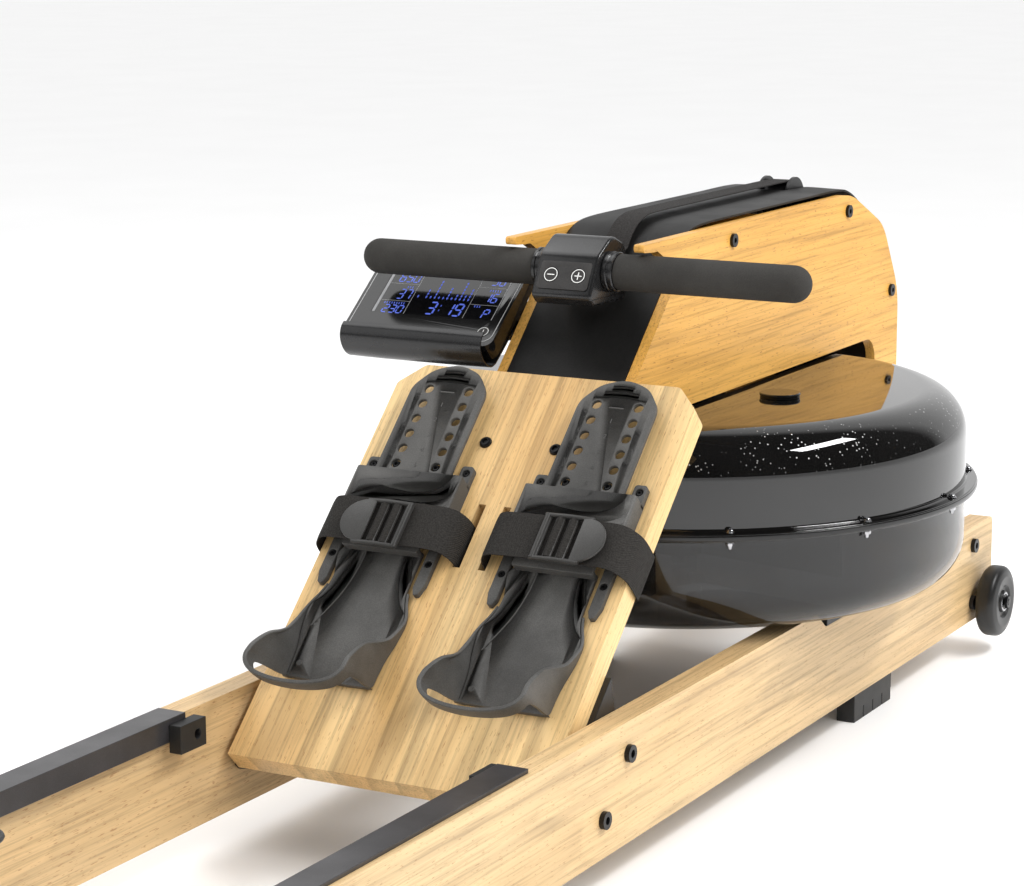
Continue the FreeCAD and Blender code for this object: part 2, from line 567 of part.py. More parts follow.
# ---------------------------------------------------------------- footrests (built flat: s, y, depth)
CUP_SIDE = [(228, 48.6), (198, 48.3), (186, 43.8), (174, 45.3), (150, 46.8), (138, 46.5), (129, 38), (124, 20)]
RIM = [(240, 2), (228, 5.5), (198, 18), (186, 32), (174, 46.5), (162, 55.5), (150, 61), (110, 62), (110, 80), (240, 80)]


def ring_points(mid, wall):
    """Plan outline of the heel cup, drawn in by the wall thickness."""
    half = [(x + wall if x < 140 else x, y - wall) for x, y in CUP_SIDE]
    left = [(x, "%s + %g" % (mid, y)) for x, y in half]
    right = [(x, "%s - %g" % (mid, y)) for x, y in half[::-1]]
    return left + right


buckles = []
for name, sign in SIDES:
    mid = "%d * step_y" % sign
    base = []
    for inner in (1, -1):
        e0, e1 = side(inner, "slide_half + 3", "step_half")
        g0, g1 = side(inner, 43.5, "step_half")
        base.append(box(251, 308, mid + " + " + g0, mid + " + " + g1, 0, 6))
        base.append(box(306, "step_top", mid + " + " + e0, mid + " + " + e1, 0, "step_deep"))
        ear = "%s + %d * 47.5" % (mid, inner)
        base.append(rod("z", 380.5, ear, 6, 0, 7))
        base.append(box("step_top - 2", 380.5, ear + " - 6", ear + " + 6", 0, 7))
        base.append(rod("z", 376.8, "%s + %d * hole_y" % (mid, inner), 4.2, 0, "slide_high - 4.2"))
    base.append(box(306, "step_top", mid + " - slide_half - 3", mid + " + slide_half + 3",
                    "slide_high + 0.6", "step_deep"))
    on_board("footrest_base_" + name, fuse(*base))
    tongue_points = [
        (290, mid + " - slide_half"), (462, mid + " - slide_half"), ("slide_s1 - 9", mid + " - 24"),
        ("slide_s1", mid), ("slide_s1 - 9", mid + " + 24"), (462, mid + " + slide_half"),
        (290, mid + " + slide_half"),
    ]
    tongue = prism("xy", tongue_points, "slide_high - 4", "slide_high", [(14, (1, 5)), (30, (2, 4))])
    sole_points = [
        (294, mid + " - slide_half"), (294, mid + " + slide_half"), (250, mid + " + slide_half"),
        (226, mid + " + 47"), (160, mid + " + 43"), (160, mid + " - 43"), (226, mid + " - 47"),
        (250, mid + " - slide_half"),
    ]
    sole = prism("xy", sole_points, 1, 5)
    riser = box(289, 294, mid + " - slide_half", mid + " + slide_half", 1, "slide_high")
    wall = cut(prism("xy", ring_points(mid, 0), 1, "cup_rim"),
               prism("xy", ring_points(mid, 3), 0, "cup_rim + 1"),
               box(100, 160, mid + " - 60", mid + " + 60", 0, 48),
               prism("xz", RIM, mid + " - 60", mid + " + 60"))
    holes = []
    for k in range(6):
        for across in (1, -1):
            spot = "%s + %d * hole_y" % (mid, across)
            holes.append(rod("z", "459.3 - %d * hole_pitch" % k, spot, 4.6, 5, 40))
    on_board("heel_slide_" + name, cut(fuse(tongue, riser, sole, wall), *holes))
    band_points = [(14, -23), (14, 9), (24, 21), (34, 23.5), (138, 23.5), (148, 14), (152.5, -1),
                   (152.5, -26), (120, -26)]
    band = strip([(sign * u, v) for u, v in band_points], 2.0 * -sign)
    on_board("strap_" + name, prism("yz", band, "strap_s0", "strap_s1"))
    frame = box(282, 332, *side(sign, 62, 112), 26, 30)
    tab = rod("z", 307, "%d * 112" % sign, 18, 26, 29)
    buckles.append(fuse(frame, tab))
on_board("buckles", fuse(*buckles))

# ---------------------------------------------------------------- checks and export
doc.recompute()
for obj in doc.Objects:
    if "Invalid" in obj.State or "Error" in obj.State:
        raise RuntimeError("failed feature: %s (%s) %s" % (obj.Name, obj.Label, obj.State))
if len(NODES) > 60:
    raise RuntimeError("too many sub-parts: %d" % len(NODES))
for label, obj in NODES.items():
    shape = obj.Shape
    if shape.isNull() or not shape.isValid() or shape.Volume <= 0:
        raise RuntimeError("bad shape: " + label)
for label, obj in NODES.items():
    obj.Shape.exportStep("parts/%s.step" % label)
print(len(NODES), "sub-parts written")
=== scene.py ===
import json
import math

import bmesh
import bpy
from mathutils import Matrix, Vector


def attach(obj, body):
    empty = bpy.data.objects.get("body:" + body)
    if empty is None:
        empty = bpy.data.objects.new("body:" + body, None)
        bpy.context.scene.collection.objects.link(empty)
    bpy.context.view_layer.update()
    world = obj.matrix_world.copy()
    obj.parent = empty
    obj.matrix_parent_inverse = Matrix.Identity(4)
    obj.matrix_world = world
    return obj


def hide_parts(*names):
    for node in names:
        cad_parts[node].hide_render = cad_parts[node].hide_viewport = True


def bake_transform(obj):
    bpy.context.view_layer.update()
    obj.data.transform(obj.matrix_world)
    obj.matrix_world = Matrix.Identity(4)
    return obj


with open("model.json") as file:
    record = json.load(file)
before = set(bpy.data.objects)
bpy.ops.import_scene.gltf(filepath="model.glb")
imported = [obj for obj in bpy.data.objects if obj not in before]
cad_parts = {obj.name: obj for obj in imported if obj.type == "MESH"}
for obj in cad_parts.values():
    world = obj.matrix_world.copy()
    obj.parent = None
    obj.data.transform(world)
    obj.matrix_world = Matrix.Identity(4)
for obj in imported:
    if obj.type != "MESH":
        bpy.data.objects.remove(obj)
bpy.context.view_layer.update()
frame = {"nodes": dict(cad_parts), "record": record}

NODES = frame["nodes"]
MM = 0.001
SIDES = (("left", 1), ("right", -1))


# ---- frames of the sloping parts
def slope(x, z, degrees):
    """Matrix from (s, y, h) in mm on a slope through (x, z) to the row frame in metres."""
    turn = Matrix.Rotation(-math.radians(degrees), 4, "Y")
    return Matrix.Translation((x * MM, 0, z * MM)) @ turn @ Matrix.Scale(MM, 4)


BOARD = slope(19, 38, 44.2)
SCREEN = slope(421, 423, 37.5)
WORLD = Matrix.Scale(MM, 4)
SQUARE = [matrix.to_3x3().col[i].normalized() for matrix in (WORLD, BOARD, SCREEN)
          for i in range(3)]


# ---- material builder
def feed(tree, socket, value):
    """Link a socket to another node's socket, or give it a number or colour."""
    if isinstance(value, bpy.types.NodeSocket):
        tree.links.new(value, socket)
    else:
        socket.default_value = value


def add(tree, kind, inputs=None, **props):
    """One shader node; socket values may be numbers, colours or other nodes' sockets."""
    item = tree.nodes.new("ShaderNode" + kind)
    for key, value in props.items():
        setattr(item, key, value)
    for key, value in (inputs or {}).items():
        feed(tree, item.inputs[key], value)
    return item


def start(name, **fixed):
    """New material; fixed values go straight onto the Principled sockets."""
    made = bpy.data.materials.new(name)
    made.use_nodes = True
    tree = made.node_tree
    shader = tree.nodes["Principled BSDF"]
    for key, value in fixed.items():
        shader.inputs[key.replace("_", " ")].default_value = value
    return made, tree, shader


def spot(tree, scale=(1, 1, 1), turn=0.0, shift=(0, 0, 0)):
    """Object coordinates, turned about Y by an angle in degrees, then stretched."""
    source = add(tree, "TexCoord").outputs["Object"]
    turned = add(tree, "Mapping", {"Vector": source, "Rotation": (0, math.radians(turn), 0)})
    return add(tree, "Mapping", {"Vector": turned.outputs[0], "Scale": scale,
                                 "Location": shift}).outputs[0]


def noise(tree, where, scale, detail=3.0, rough=0.5, distort=0.0):
    made = add(tree, "TexNoise", {"Vector": where, "Scale": scale, "Detail": detail,
                                  "Roughness": rough, "Distortion": distort})
    return made.outputs["Fac"]


def ramp(tree, value, stops):
    """Colour ramp from (position, colour or grey) pairs."""
    made = add(tree, "ValToRGB", {"Fac": value})
    bar = made.color_ramp
    while len(bar.elements) < len(stops):
        bar.elements.new(0.5)
    for element, (position, colour) in zip(bar.elements, stops):
        element.position = position
        if isinstance(colour, (int, float)):
            colour = (colour, colour, colour)
        element.color = (*colour, 1)
    return made.outputs["Color"]


def mix(tree, kind, share, a, b):
    made = add(tree, "Mix", {"Factor": share}, data_type="RGBA", blend_type=kind)
    for socket, value in ((made.inputs[6], a), (made.inputs[7], b)):
        feed(tree, socket, (*value, 1) if isinstance(value, tuple) else value)
    return made.outputs[2]


def math_node(tree, operation, a, b):
    made = add(tree, "Math", operation=operation)
    for socket, value in zip(made.inputs, (a, b)):
        feed(tree, socket, value)
    return made.outputs[0]


def dress(tree, shader, colour, rough):
    tree.links.new(colour, shader.inputs["Base Color"])
    tree.links.new(rough, shader.inputs["Roughness"])


def bump(tree, shader, height, depth, strength=1.0, after=None):
    made = add(tree, "Bump", {"Height": height, "Distance": depth, "Strength": strength})
    if after:
        tree.links.new(after.outputs[0], made.inputs["Normal"])
    tree.links.new(made.outputs[0], shader.inputs["Normal"])
    return made


# ---- materials
def wood(name, pale, mid, dark, turn=0.0, ring=9.0, figure=0.5, fleck=0.6, shift=(0, 0, 0)):
    """Lacquered light hardwood with its grain along the local X."""
    made, tree, shader = start(name, Specular_IOR_Level=0.3, Coat_Weight=0.06,
                               Coat_Roughness=0.28)
    broad = noise(tree, spot(tree, (0.7, 5.0, 5.0), turn, shift), 1.6, 4, 0.55, 0.6)
    band = add(tree, "TexWave", {
        "Vector": spot(tree, (0.16, 1.0, 0.55), turn, shift), "Scale": ring, "Distortion": 7.0,
        "Detail": 3.0, "Detail Scale": 0.9, "Detail Roughness": 0.6,
    }, wave_type="BANDS", bands_direction="Y", wave_profile="SAW")
    fibre = noise(tree, spot(tree, (9, 420, 420), turn, shift), 1.0, 4, 0.6)
    streak = noise(tree, spot(tree, (2.2, 70, 70), turn, shift), 1.0, 5, 0.62)
    pores = noise(tree, spot(tree, (110, 900, 900), turn, shift), 1.0, 1, 0.5)
    base = ramp(tree, broad, ((0.3, pale), (0.72, mid)))
    rings = ramp(tree, band.outputs["Fac"], ((0.0, 1.0), (0.62, 0.93), (0.96, 0.72), (1.0, 0.95)))
    colour = mix(tree, "MULTIPLY", figure, base, rings)
    streaks = ramp(tree, streak, ((0.33, 0.74), (0.5, 1.0), (0.7, 1.08)))
    colour = mix(tree, "MULTIPLY", 0.8, colour, streaks)
    fibres = ramp(tree, fibre, ((0.36, 0.66), (0.52, 1.0)))
    colour = mix(tree, "MULTIPLY", 0.7, colour, fibres)
    flecks = ramp(tree, pores, ((0.655, 0.0), (0.70, 1.0)))
    share = add(tree, "Math", {0: flecks, 1: fleck}, operation="MULTIPLY").outputs[0]
    colour = mix(tree, "MIX", share, colour, dark)
    dress(tree, shader, colour, ramp(tree, fibre, ((0.3, 0.47), (0.7, 0.36))))
    first = bump(tree, shader, fibre, 0.00012, 0.5)
    bump(tree, shader, flecks, -0.00008, 0.6, first)
    return made


def plastic(name, colour, rough, grain=900.0, depth=0.00008, wear=0.25, **fixed):
    """Moulded black plastic: fine spark-eroded grain, slightly lighter and more polished in random
    patches.
    """
    made, tree, shader = start(name, **fixed)
    where = spot(tree)
    fine = noise(tree, where, grain, 2, 0.6)
    cloud = noise(tree, where, 14, 4, 0.6)
    light = tuple(min(1.0, c * (1 + wear)) for c in colour)
    deep = tuple(c * (1 - wear) for c in colour)
    body = ramp(tree, cloud, ((0.35, deep), (0.7, light)))
    speck = ramp(tree, fine, ((0.35, 0.82), (0.65, 1.18)))
    dress(tree, shader, mix(tree, "MULTIPLY", 1.0, body, speck),
          ramp(tree, cloud, ((0.3, rough * 1.12), (0.7, rough * 0.9))))
    bump(tree, shader, fine, depth, 0.6)
    return made


def webbing(name, colour, turn, pitch=0.0016):
    """Twill-woven polyester, its ribs slanting across the band."""
    made, tree, shader = start(name, Specular_IOR_Level=0.2)
    where = spot(tree, (1, 1, 1), turn)
    parts = add(tree, "SeparateXYZ", {"Vector": where})
    along = math_node(tree, "MULTIPLY", parts.outputs[1], 2 * math.pi / pitch)
    across = math_node(tree, "MULTIPLY", parts.outputs[0], 2 * math.pi / (pitch * 1.1))
    rib = math_node(tree, "SINE", math_node(tree, "ADD", along, across), 0)
    pick = math_node(tree, "SINE", math_node(tree, "MULTIPLY", across, 2.0), 0)
    weave = math_node(tree, "MULTIPLY_ADD", pick, 0.12)
    tree.links.new(math_node(tree, "MULTIPLY_ADD", rib, 0.35), weave.node.inputs[2])
    fuzz = noise(tree, where, 700, 2)
    # painted shade and highlight: the weave's grooves are painted darker and its ribs lighter
    shade = ramp(tree, weave, ((0.0, 0.55), (0.5, 1.25)))
    tint = mix(tree, "MULTIPLY", 1.0, colour, shade)
    worn = ramp(tree, fuzz, ((0.3, 0.6), (0.7, 1.4)))
    dress(tree, shader, mix(tree, "MULTIPLY", 0.6, tint, worn),
          ramp(tree, fuzz, ((0.3, 0.9), (0.7, 0.7))))
    bump(tree, shader, weave, 0.00035, 0.8)
    return made


def metal(name, colour, rough, brush=0.0):
    made, tree, shader = start(name, Metallic=1.0)
    where = spot(tree, (40, 900, 900) if brush else (300, 300, 300))
    grain = noise(tree, where, 1.0, 3)
    dress(tree, shader, ramp(tree, grain, ((0.3, tuple(c * 0.8 for c in colour)), (0.7, colour))),
          ramp(tree, grain, ((0.3, rough * 1.25), (0.7, rough * 0.85))))
    bump(tree, shader, grain, 0.00002, 0.4)
    return made


# colour, roughness, grain per metre, grain depth in metres, and wear where it isn't 0.25
MOULDED = {
    "black_hardware": ((0.012, 0.012, 0.013), 0.34, 1400, 0.00002),
    "black_steel": ((0.010, 0.010, 0.011), 0.45, 1300, 0.00003),
    "track_metal": ((0.052, 0.050, 0.053), 0.33, 1600, 0.00003),
    "stop_rubber": ((0.012, 0.012, 0.012), 0.55, 800, 0.00006),
    "foot_rubber": ((0.012, 0.012, 0.012), 0.5, 700, 0.00007),
    "wheel_urethane": ((0.012, 0.012, 0.012), 0.38, 900, 0.00005),
    "cover_plastic": ((0.007, 0.0067, 0.0064), 0.55, 520, 0.00020),
    "roller_plastic": ((0.015, 0.015, 0.015), 0.35, 1000, 0.00003),
    "tank_trim": ((0.006, 0.006, 0.006), 0.22, 1000, 0.00002),
    "paddle_plastic": ((0.006, 0.006, 0.0065), 0.3, 700, 0.00004),
    "grip_foam": ((0.040, 0.038, 0.035), 0.85, 1500, 0.0003, 0.15),
    "handle_plastic": ((0.012, 0.012, 0.0125), 0.26, 1100, 0.00003),
    "key_membrane": ((0.036, 0.034, 0.033), 0.6, 1100, 0.00004),
    "monitor_glass": ((0.0035, 0.0035, 0.004), 0.10, 60, 0.000002),
    "monitor_plastic": ((0.008, 0.008, 0.0082), 0.15, 900, 0.000008),
    "cradle_plastic": ((0.014, 0.014, 0.015), 0.26, 900, 0.00002),
    "seat_cover": ((0.022, 0.021, 0.020), 0.5, 380, 0.0003),
    "footrest_plastic": ((0.076, 0.074, 0.070), 0.55, 1000, 0.00010),
    "buckle_plastic": ((0.040, 0.039, 0.037), 0.36, 900, 0.00004),
}
FIXED = {
    "black_hardware": {"Metallic": 0.5},
    "track_metal": {"Metallic": 0.4},
    "cover_plastic": {"Specular_IOR_Level": 0.4},
    "grip_foam": {"Specular_IOR_Level": 0.25},
    "footrest_plastic": {"Specular_IOR_Level": 0.4},
}
MAT = {
    "rail_wood": wood("rail_wood", (0.75, 0.55, 0.305), (0.63, 0.425, 0.205), (0.30, 0.14, 0.05),
                      ring=16.0, figure=0.4),
    "panel_wood": wood("panel_wood", (0.80, 0.44, 0.105), (0.66, 0.335, 0.06),
                       (0.27, 0.10, 0.02), ring=11.0, figure=0.45, fleck=0.8, shift=(3, 1, 2)),
    "board_wood": wood("board_wood", (0.90, 0.66, 0.33), (0.58, 0.34, 0.12),
                       (0.30, 0.13, 0.04), turn=44.2, ring=9.0, figure=0.9, shift=(1, 2, 0.4)),
    "bright_steel": metal("bright_steel", (0.50, 0.50, 0.52), 0.24),
    "belt_webbing": webbing("belt_webbing", (0.028, 0.026, 0.025), 0.0),
    "strap_webbing": webbing("strap_webbing", (0.024, 0.022, 0.020), 44.2),
}
for label, look in MOULDED.items():
    MAT[label] = plastic(label, *look, **FIXED.get(label, {}))


def tank_material():
    """Smoked clear plastic, beaded with fine droplets under its shoulder; the droplets are real,
    their opaque light grey colour is a painted glint.
    """
    made, tree, shader = start("tank_clear", IOR=1.5, Specular_IOR_Level=0.6, Coat_Weight=0.3,
                               Coat_Roughness=0.02)
    where = spot(tree)
    cloud = noise(tree, where, 9, 4, 0.6)
    cells = add(tree, "TexVoronoi", {"Vector": where, "Scale": 260.0, "Randomness": 1.0})
    parts = add(tree, "SeparateXYZ", {"Vector": where})
    beads = ramp(tree, cells.outputs["Distance"], ((0.10, 1.0), (0.22, 0.0)))
    lottery = add(tree, "SeparateColor", {"Color": cells.outputs["Color"]}).outputs[0]
    wet = ramp(tree, noise(tree, where, 14, 3), ((0.42, 0.0), (0.62, 1.0)))
    high = ramp(tree, parts.outputs[2], ((0.298, 0.0), (0.312, 1.0), (0.334, 1.0), (0.3365, 0.0)))
    chosen = ramp(tree, lottery, ((0.45, 0.0), (0.5, 1.0)))
    share = math_node(tree, "MULTIPLY", math_node(tree, "MULTIPLY", beads, chosen),
                      math_node(tree, "MULTIPLY", wet, high))
    dark = ramp(tree, cloud, ((0.3, (0.0035, 0.0033, 0.0032)), (0.7, (0.006, 0.0058, 0.0056))))
    # painted glint: the droplet spots get a light grey colour in place of the dark smoke
    dress(tree, shader, mix(tree, "MIX", share, dark, (0.75, 0.75, 0.75)),
          ramp(tree, cloud, ((0.3, 0.03), (0.7, 0.05))))
    clear = ramp(tree, parts.outputs[2], ((0.236, 0.66), (0.246, 0.975)))
    # alpha is full on the droplet spots as well, part of the painted glint
    tree.links.new(math_node(tree, "MAXIMUM", clear, share), shader.inputs["Alpha"])
    bump(tree, shader, share, 0.0004, 0.8)
    return made


MAT["tank_clear"] = tank_material()


def paint(name, colour, rough=0.4, glow=0.0):
    """Thin printed or lit mark, faintly mottled."""
    made, tree, shader = start(name, Emission_Strength=glow)
    grain = noise(tree, spot(tree), 600, 2)
    tone = ramp(tree, grain, ((0.3, tuple(c * 0.85 for c in colour)), (0.7, colour)))
    dress(tree, shader, tone, ramp(tree, grain, ((0.3, rough), (0.7, rough * 1.2))))
    tree.links.new(tone, shader.inputs["Emission Color"])
    return made


MAT["print_white"] = paint("print_white", (0.85, 0.85, 0.83), 0.5)
MAT["display_blue"] = paint("display_blue", (0.06, 0.10, 0.46), 0.4, 0.8)
MAT["display_rule"] = paint("display_rule", (0.30, 0.30, 0.31), 0.4, 0.1)
MAT["bezel_grey"] = paint("bezel_grey", (0.5, 0.5, 0.5), 0.3)


# ---- mesh helpers
def finish_mesh(name, mesh, slot, body, sharp=38.0, hides=(), paint=None, flat=0.0):
    """Clean the mesh, shade it smooth apart from sharp folds, and hang it on its body."""
    work = bmesh.new()
    work.from_mesh(mesh)
    bmesh.ops.remove_doubles(work, verts=work.verts, dist=1e-6)
    bmesh.ops.recalc_face_normals(work, faces=work.faces)
    work.to_mesh(mesh)
    work.free()
    smooth = []
    for face in mesh.polygons:
        level = max(abs(face.normal.dot(axis)) for axis in SQUARE)
        smooth.append(level < 0.9999 and (not flat or face.area < flat * MM * MM))
    mesh.polygons.foreach_set("use_smooth", smooth)
    mesh.set_sharp_from_angle(angle=math.radians(sharp))
    mesh.materials.clear()
    mesh.materials.append(MAT[paint or slot])
    piece = placed(name, mesh)
    if body:
        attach(piece, body)
    if hides:
        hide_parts(*hides)
    return piece


def raw(name, points, faces, matrix=WORLD):
    mesh = bpy.data.meshes.new(name)
    mesh.from_pydata([tuple(matrix @ Vector(p)) for p in points], [], faces)
    return mesh


def evaluated(thing):
    """New mesh of an object as its modifiers or curve settings leave it."""
    bpy.context.view_layer.update()
    seen = bpy.context.evaluated_depsgraph_get()
    return bpy.data.meshes.new_from_object(thing.evaluated_get(seen))


def placed(name, data):
    """Object in the scene that holds a mesh or curve."""
    thing = bpy.data.objects.new(name, data)
    bpy.context.scene.collection.objects.link(thing)
    return thing


def rect(x0, x1, y0, y1):
    return [(x0, y0), (x1, y0), (x1, y1), (x0, y1)]


def rounded(points, radii, steps=5):
    """Closed outline in 2-D with its corners rounded; radii is one number or one per corner."""
    out = []
    count = len(points)
    for i, (x, y) in enumerate(points):
        radius = radii[i] if isinstance(radii, (list, tuple)) else radii
        here = Vector((x, y))
        before = Vector(points[i - 1]) - here
        after = Vector(points[(i + 1) % count]) - here
        if radius <= 0:
            out.append((x, y))
            continue
        a, b = before.normalized(), after.normalized()
        angle = a.angle(b)
        if angle > math.pi - 0.02:
            out.append((x, y))
            continue
        reach = min(radius / math.tan(angle / 2), before.length * 0.49, after.length * 0.49)
        radius = reach * math.tan(angle / 2)
        middle = here + (a + b).normalized() * (radius / math.sin(angle / 2))
        first, last = here + a * reach - middle, here + b * reach - middle
        swing = first.angle_signed(last)
        for k in range(steps + 1):
            arm = first.copy()
            arm.rotate(Matrix.Rotation(-swing * k / steps, 2))
            out.append(tuple(middle + arm))
    return out


def loft(name, rings, matrix=WORLD, closed=True, capped=True):
    """Skin over rings of equal point counts; each ring is a closed loop when closed."""
    count = len(rings[0])
    points = [p for ring in rings for p in ring]
    faces = []
    for i in range(len(rings) - 1):
        for j in range(count if closed else count - 1):
            k = (j + 1) % count
            faces.append((i * count + j, i * count + k, (i + 1) * count + k, (i + 1) * count + j))
    if capped:
        faces.append(tuple(range(count)))
        faces.append(tuple((len(rings) - 1) * count + j for j in range(count)))
    return raw(name, points, faces, matrix)


def lathe(name, profile, centre, axis="z", segments=96, matrix=WORLD):
    """Closed ring or disc turned from a closed outline of (radius, height)."""
    points, faces = [], []
    count = len(profile)
    for k in range(segments):
        turn = 2 * math.pi * k / segments
        for r, t in profile:
            u, v = r * math.cos(turn), r * math.sin(turn)
            offset = {"z": (u, v, t), "y": (u, t, v), "x": (t, u, v)}[axis]
            points.append(tuple(Vector(centre) + Vector(offset)))
    for k in range(segments):
        n = (k + 1) % segments
        for j in range(count):
            i = (j + 1) % count
            if profile[j][0] < 1e-6 and profile[i][0] < 1e-6:
                continue
            faces.append((k * count + j, k * count + i, n * count + i, n * count + j))
    return raw(name, points, faces, matrix)


def sideways(name, profile, sign, centre, segments):
    """Left (1) or right (-1) ring about a cross axle, from (radius, distance out from centre)."""
    return lathe(name, [(r, sign * t) for r, t in profile], centre, "y", segments)


def plate(name, outer, holes, low, high, matrix, edge=0.6, steps=2):
    """Flat plate with holes and softened edges, from outlines in the (s, y) plane."""
    curve = bpy.data.curves.new(name, "CURVE")
    curve.dimensions = "2D"
    curve.fill_mode = "BOTH"
    curve.extrude = (high - low) / 2 - edge
    curve.bevel_depth = edge
    curve.bevel_resolution = steps
    curve.offset = -edge
    for loop in [outer, *holes]:
        line = curve.splines.new("POLY")
        line.points.add(len(loop) - 1)
        for point, (x, y) in zip(line.points, loop):
            point.co = (x, y, 0, 1)
        line.use_cyclic_u = True
    carrier = placed(name + "_outline", curve)
    mesh = evaluated(carrier)
    bpy.data.objects.remove(carrier)
    bpy.data.curves.remove(curve)
    mesh.transform(matrix @ Matrix.Translation((0, 0, (low + high) / 2)))
    return mesh


def joined(name, meshes):
    """One mesh holding the shells of several."""
    work = bmesh.new()
    for mesh in meshes:
        work.from_mesh(mesh)
        bpy.data.meshes.remove(mesh)
    bmesh.ops.remove_doubles(work, verts=work.verts, dist=1e-6)
    out = bpy.data.meshes.new(name)
    work.to_mesh(out)
    work.free()
    return out


def circle(x, y, radius, count=28):
    return [(x + radius * math.cos(2 * math.pi * k / count),
             y + radius * math.sin(2 * math.pi * k / count)) for k in range(count)]


def smooth_path(points, steps=8):
    """Catmull-Rom line through points of any dimension."""
    spots = [Vector(p) for p in points]
    ends = [spots[0] * 2 - spots[1], *spots, spots[-1] * 2 - spots[-2]]
    out = []
    for i in range(1, len(ends) - 2):
        a, b, c, d = ends[i - 1:i + 3]
        for k in range(steps):
            t = k / steps
            out.append(0.5 * (b * 2 + (c - a) * t + (a * 2 - b * 5 + c * 4 - d) * t * t
                              + (b * 3 - a - c * 3 + d) * t ** 3))
    out.append(spots[-1])
    return out


def band(name, path, low, high, thick, matrix, plane, cross=9):
    """Webbing or sheet: a path in one plane swept between low and high across it."""
    edge = []
    for k in range(cross):
        worn = thick * 0.22 if k in (0, cross - 1) else 0
        edge.append((k / (cross - 1), thick / 2 - worn))
    section = edge + [(share, -lift) for share, lift in reversed(edge)]
    rings = []
    for i, here in enumerate(path):
        ahead = path[min(i + 1, len(path) - 1)] - path[max(i - 1, 0)]
        ahead.normalize()
        normal = Vector((-ahead[1], ahead[0]))
        loop = []
        for share, lift in section:
            across = low + (high - low) * share
            at = here + normal * lift
            loop.append({"yz": (across, at[0], at[1]), "xz": (at[0], across, at[1])}[plane])
        rings.append(loop)
    return loft(name, rings, matrix)


# ---- CAD nodes keep their shape
SLOT_OF = {row["node"]: row["material_slot"] for row in frame["record"]["subparts"]}
BEVELS = {
    "rail_wood": 1.2, "panel_wood": 1.2, "board_wood": 2.2, "track_metal": 0.5,
    "foot_rubber": 1.6, "stop_rubber": 0.8, "monitor_plastic": 1.6, "cradle_plastic": 1.0,
    "handle_plastic": 2.5, "black_steel": 0.6, "black_hardware": 0.4,
}
for label, thing in NODES.items():
    slot = SLOT_OF[label]
    thing.data.materials.clear()
    thing.data.materials.append(MAT[slot])
    if slot in BEVELS:
        weld = thing.modifiers.new("Weld", "WELD")
        weld.merge_threshold = 0.00001
        soft = thing.modifiers.new("Bevel", "BEVEL")
        soft.width = BEVELS[slot] * MM
        soft.segments = 3
        soft.limit_method = "ANGLE"
        soft.angle_limit = math.radians(50)
        soft.harden_normals = False


# ---- more mesh helpers
def tube(name, path, radius, matrix, sides=8):
    """Round bead along a line of 3-D points."""
    spots = [Vector(p) for p in path]
    rings = []
    for i, here in enumerate(spots):
        ahead = (spots[min(i + 1, len(spots) - 1)] - spots[max(i - 1, 0)]).normalized()
        side_way = ahead.cross(Vector((0.02, 0.01, 1))).normalized()
        rise = side_way.cross(ahead)
        rings.append([here + (side_way * math.cos(a) + rise * math.sin(a)) * radius
                      for a in (2 * math.pi * k / sides for k in range(sides))])
    return loft(name, rings, matrix)


def carve(mesh, cutter):
    """The mesh with the cutter's closed shells taken away."""
    pair = [placed("carving", item) for item in (mesh, cutter)]
    step = pair[0].modifiers.new("Carve", "BOOLEAN")
    step.operation = "DIFFERENCE"
    step.solver = "EXACT"
    step.object = pair[1]
    out = evaluated(pair[0])
    for holder, item in zip(pair, (mesh, cutter)):
        bpy.data.objects.remove(holder)
        bpy.data.meshes.remove(item)
    return out


def rim_disc(radius, low, high, edge=0.5):
    """Outline of a disc's half section, its outer edges eased."""
    return [(0, low), *rounded([(0.01, low), (radius, low), (radius, high), (0.01, high)],
                               [0, edge, edge, 0], 3), (0, high)]


def screw_head(name, centre, radius, high, matrix, socket=0.45):
    """Low dome with a recess, its axis along the local third direction."""
    profile = [(0, high * 0.35), (radius * socket, high * 0.35), (radius * socket, high * 0.97),
               (radius * 0.62, high), (radius * 0.88, high * 0.72), (radius, high * 0.25),
               (radius, 0), (0, 0)]
    return lathe(name, profile, centre, "z", 20, matrix)


# ---- footboard bolts
BOLT_S, BOLT_Y, BOLT_DEEP = 417, 35, -42
bolts = []
for sign in (-1, 1):
    bolts.append(screw_head("bolt", (BOLT_S, sign * BOLT_Y, 0.05), 5.8, 2.8, BOARD, 0.5))
    bolts.append(lathe("shank", [(0, BOLT_DEEP), (2.9, BOLT_DEEP), (2.9, 0), (0, 0)],
                       (BOLT_S, sign * BOLT_Y, 0), "z", 20, BOARD))
finish_mesh("footboard_bolts", joined("footboard_bolts", bolts), "black_hardware", "frame", 30,
            hides=["footboard_screws"])


# ---- footrests
CUP = [
    # s, half width and height of the rim; s, half width and height of the lower edge
    (252, 40.0, 4.4, 252, 39.0, 1), (242, 43.0, 4.8, 242, 42.0, 1),
    (232, 47.3, 5.4, 232, 46.2, 1), (223, 49.6, 6.8, 223, 48.0, 1),
    (212, 49.4, 11.0, 212, 47.2, 1), (200, 48.5, 17.5, 201, 45.4, 1),
    (191, 45.0, 27.0, 193, 43.4, 1), (183, 43.4, 36.5, 185, 42.2, 1),
    (175, 44.8, 45.5, 177, 41.4, 1), (167, 45.6, 52.0, 169, 40.9, 1),
    (159, 46.2, 57.0, 161, 40.5, 1), (154, 46.6, 59.5, 156, 41.5, 8),
    (149, 46.9, 60.8, 150, 44.0, 30), (142, 47.0, 61.8, 144, 45.8, 46),
    (135.5, 43.5, 62.2, 137, 42.8, 48), (130, 36.5, 62.5, 131.5, 36.0, 48.5),
    (126.3, 26, 62.8, 128, 25.5, 48.8), (124, 13, 63, 126, 12.7, 49), (123.4, 0, 63, 125.4, 0, 49),
]
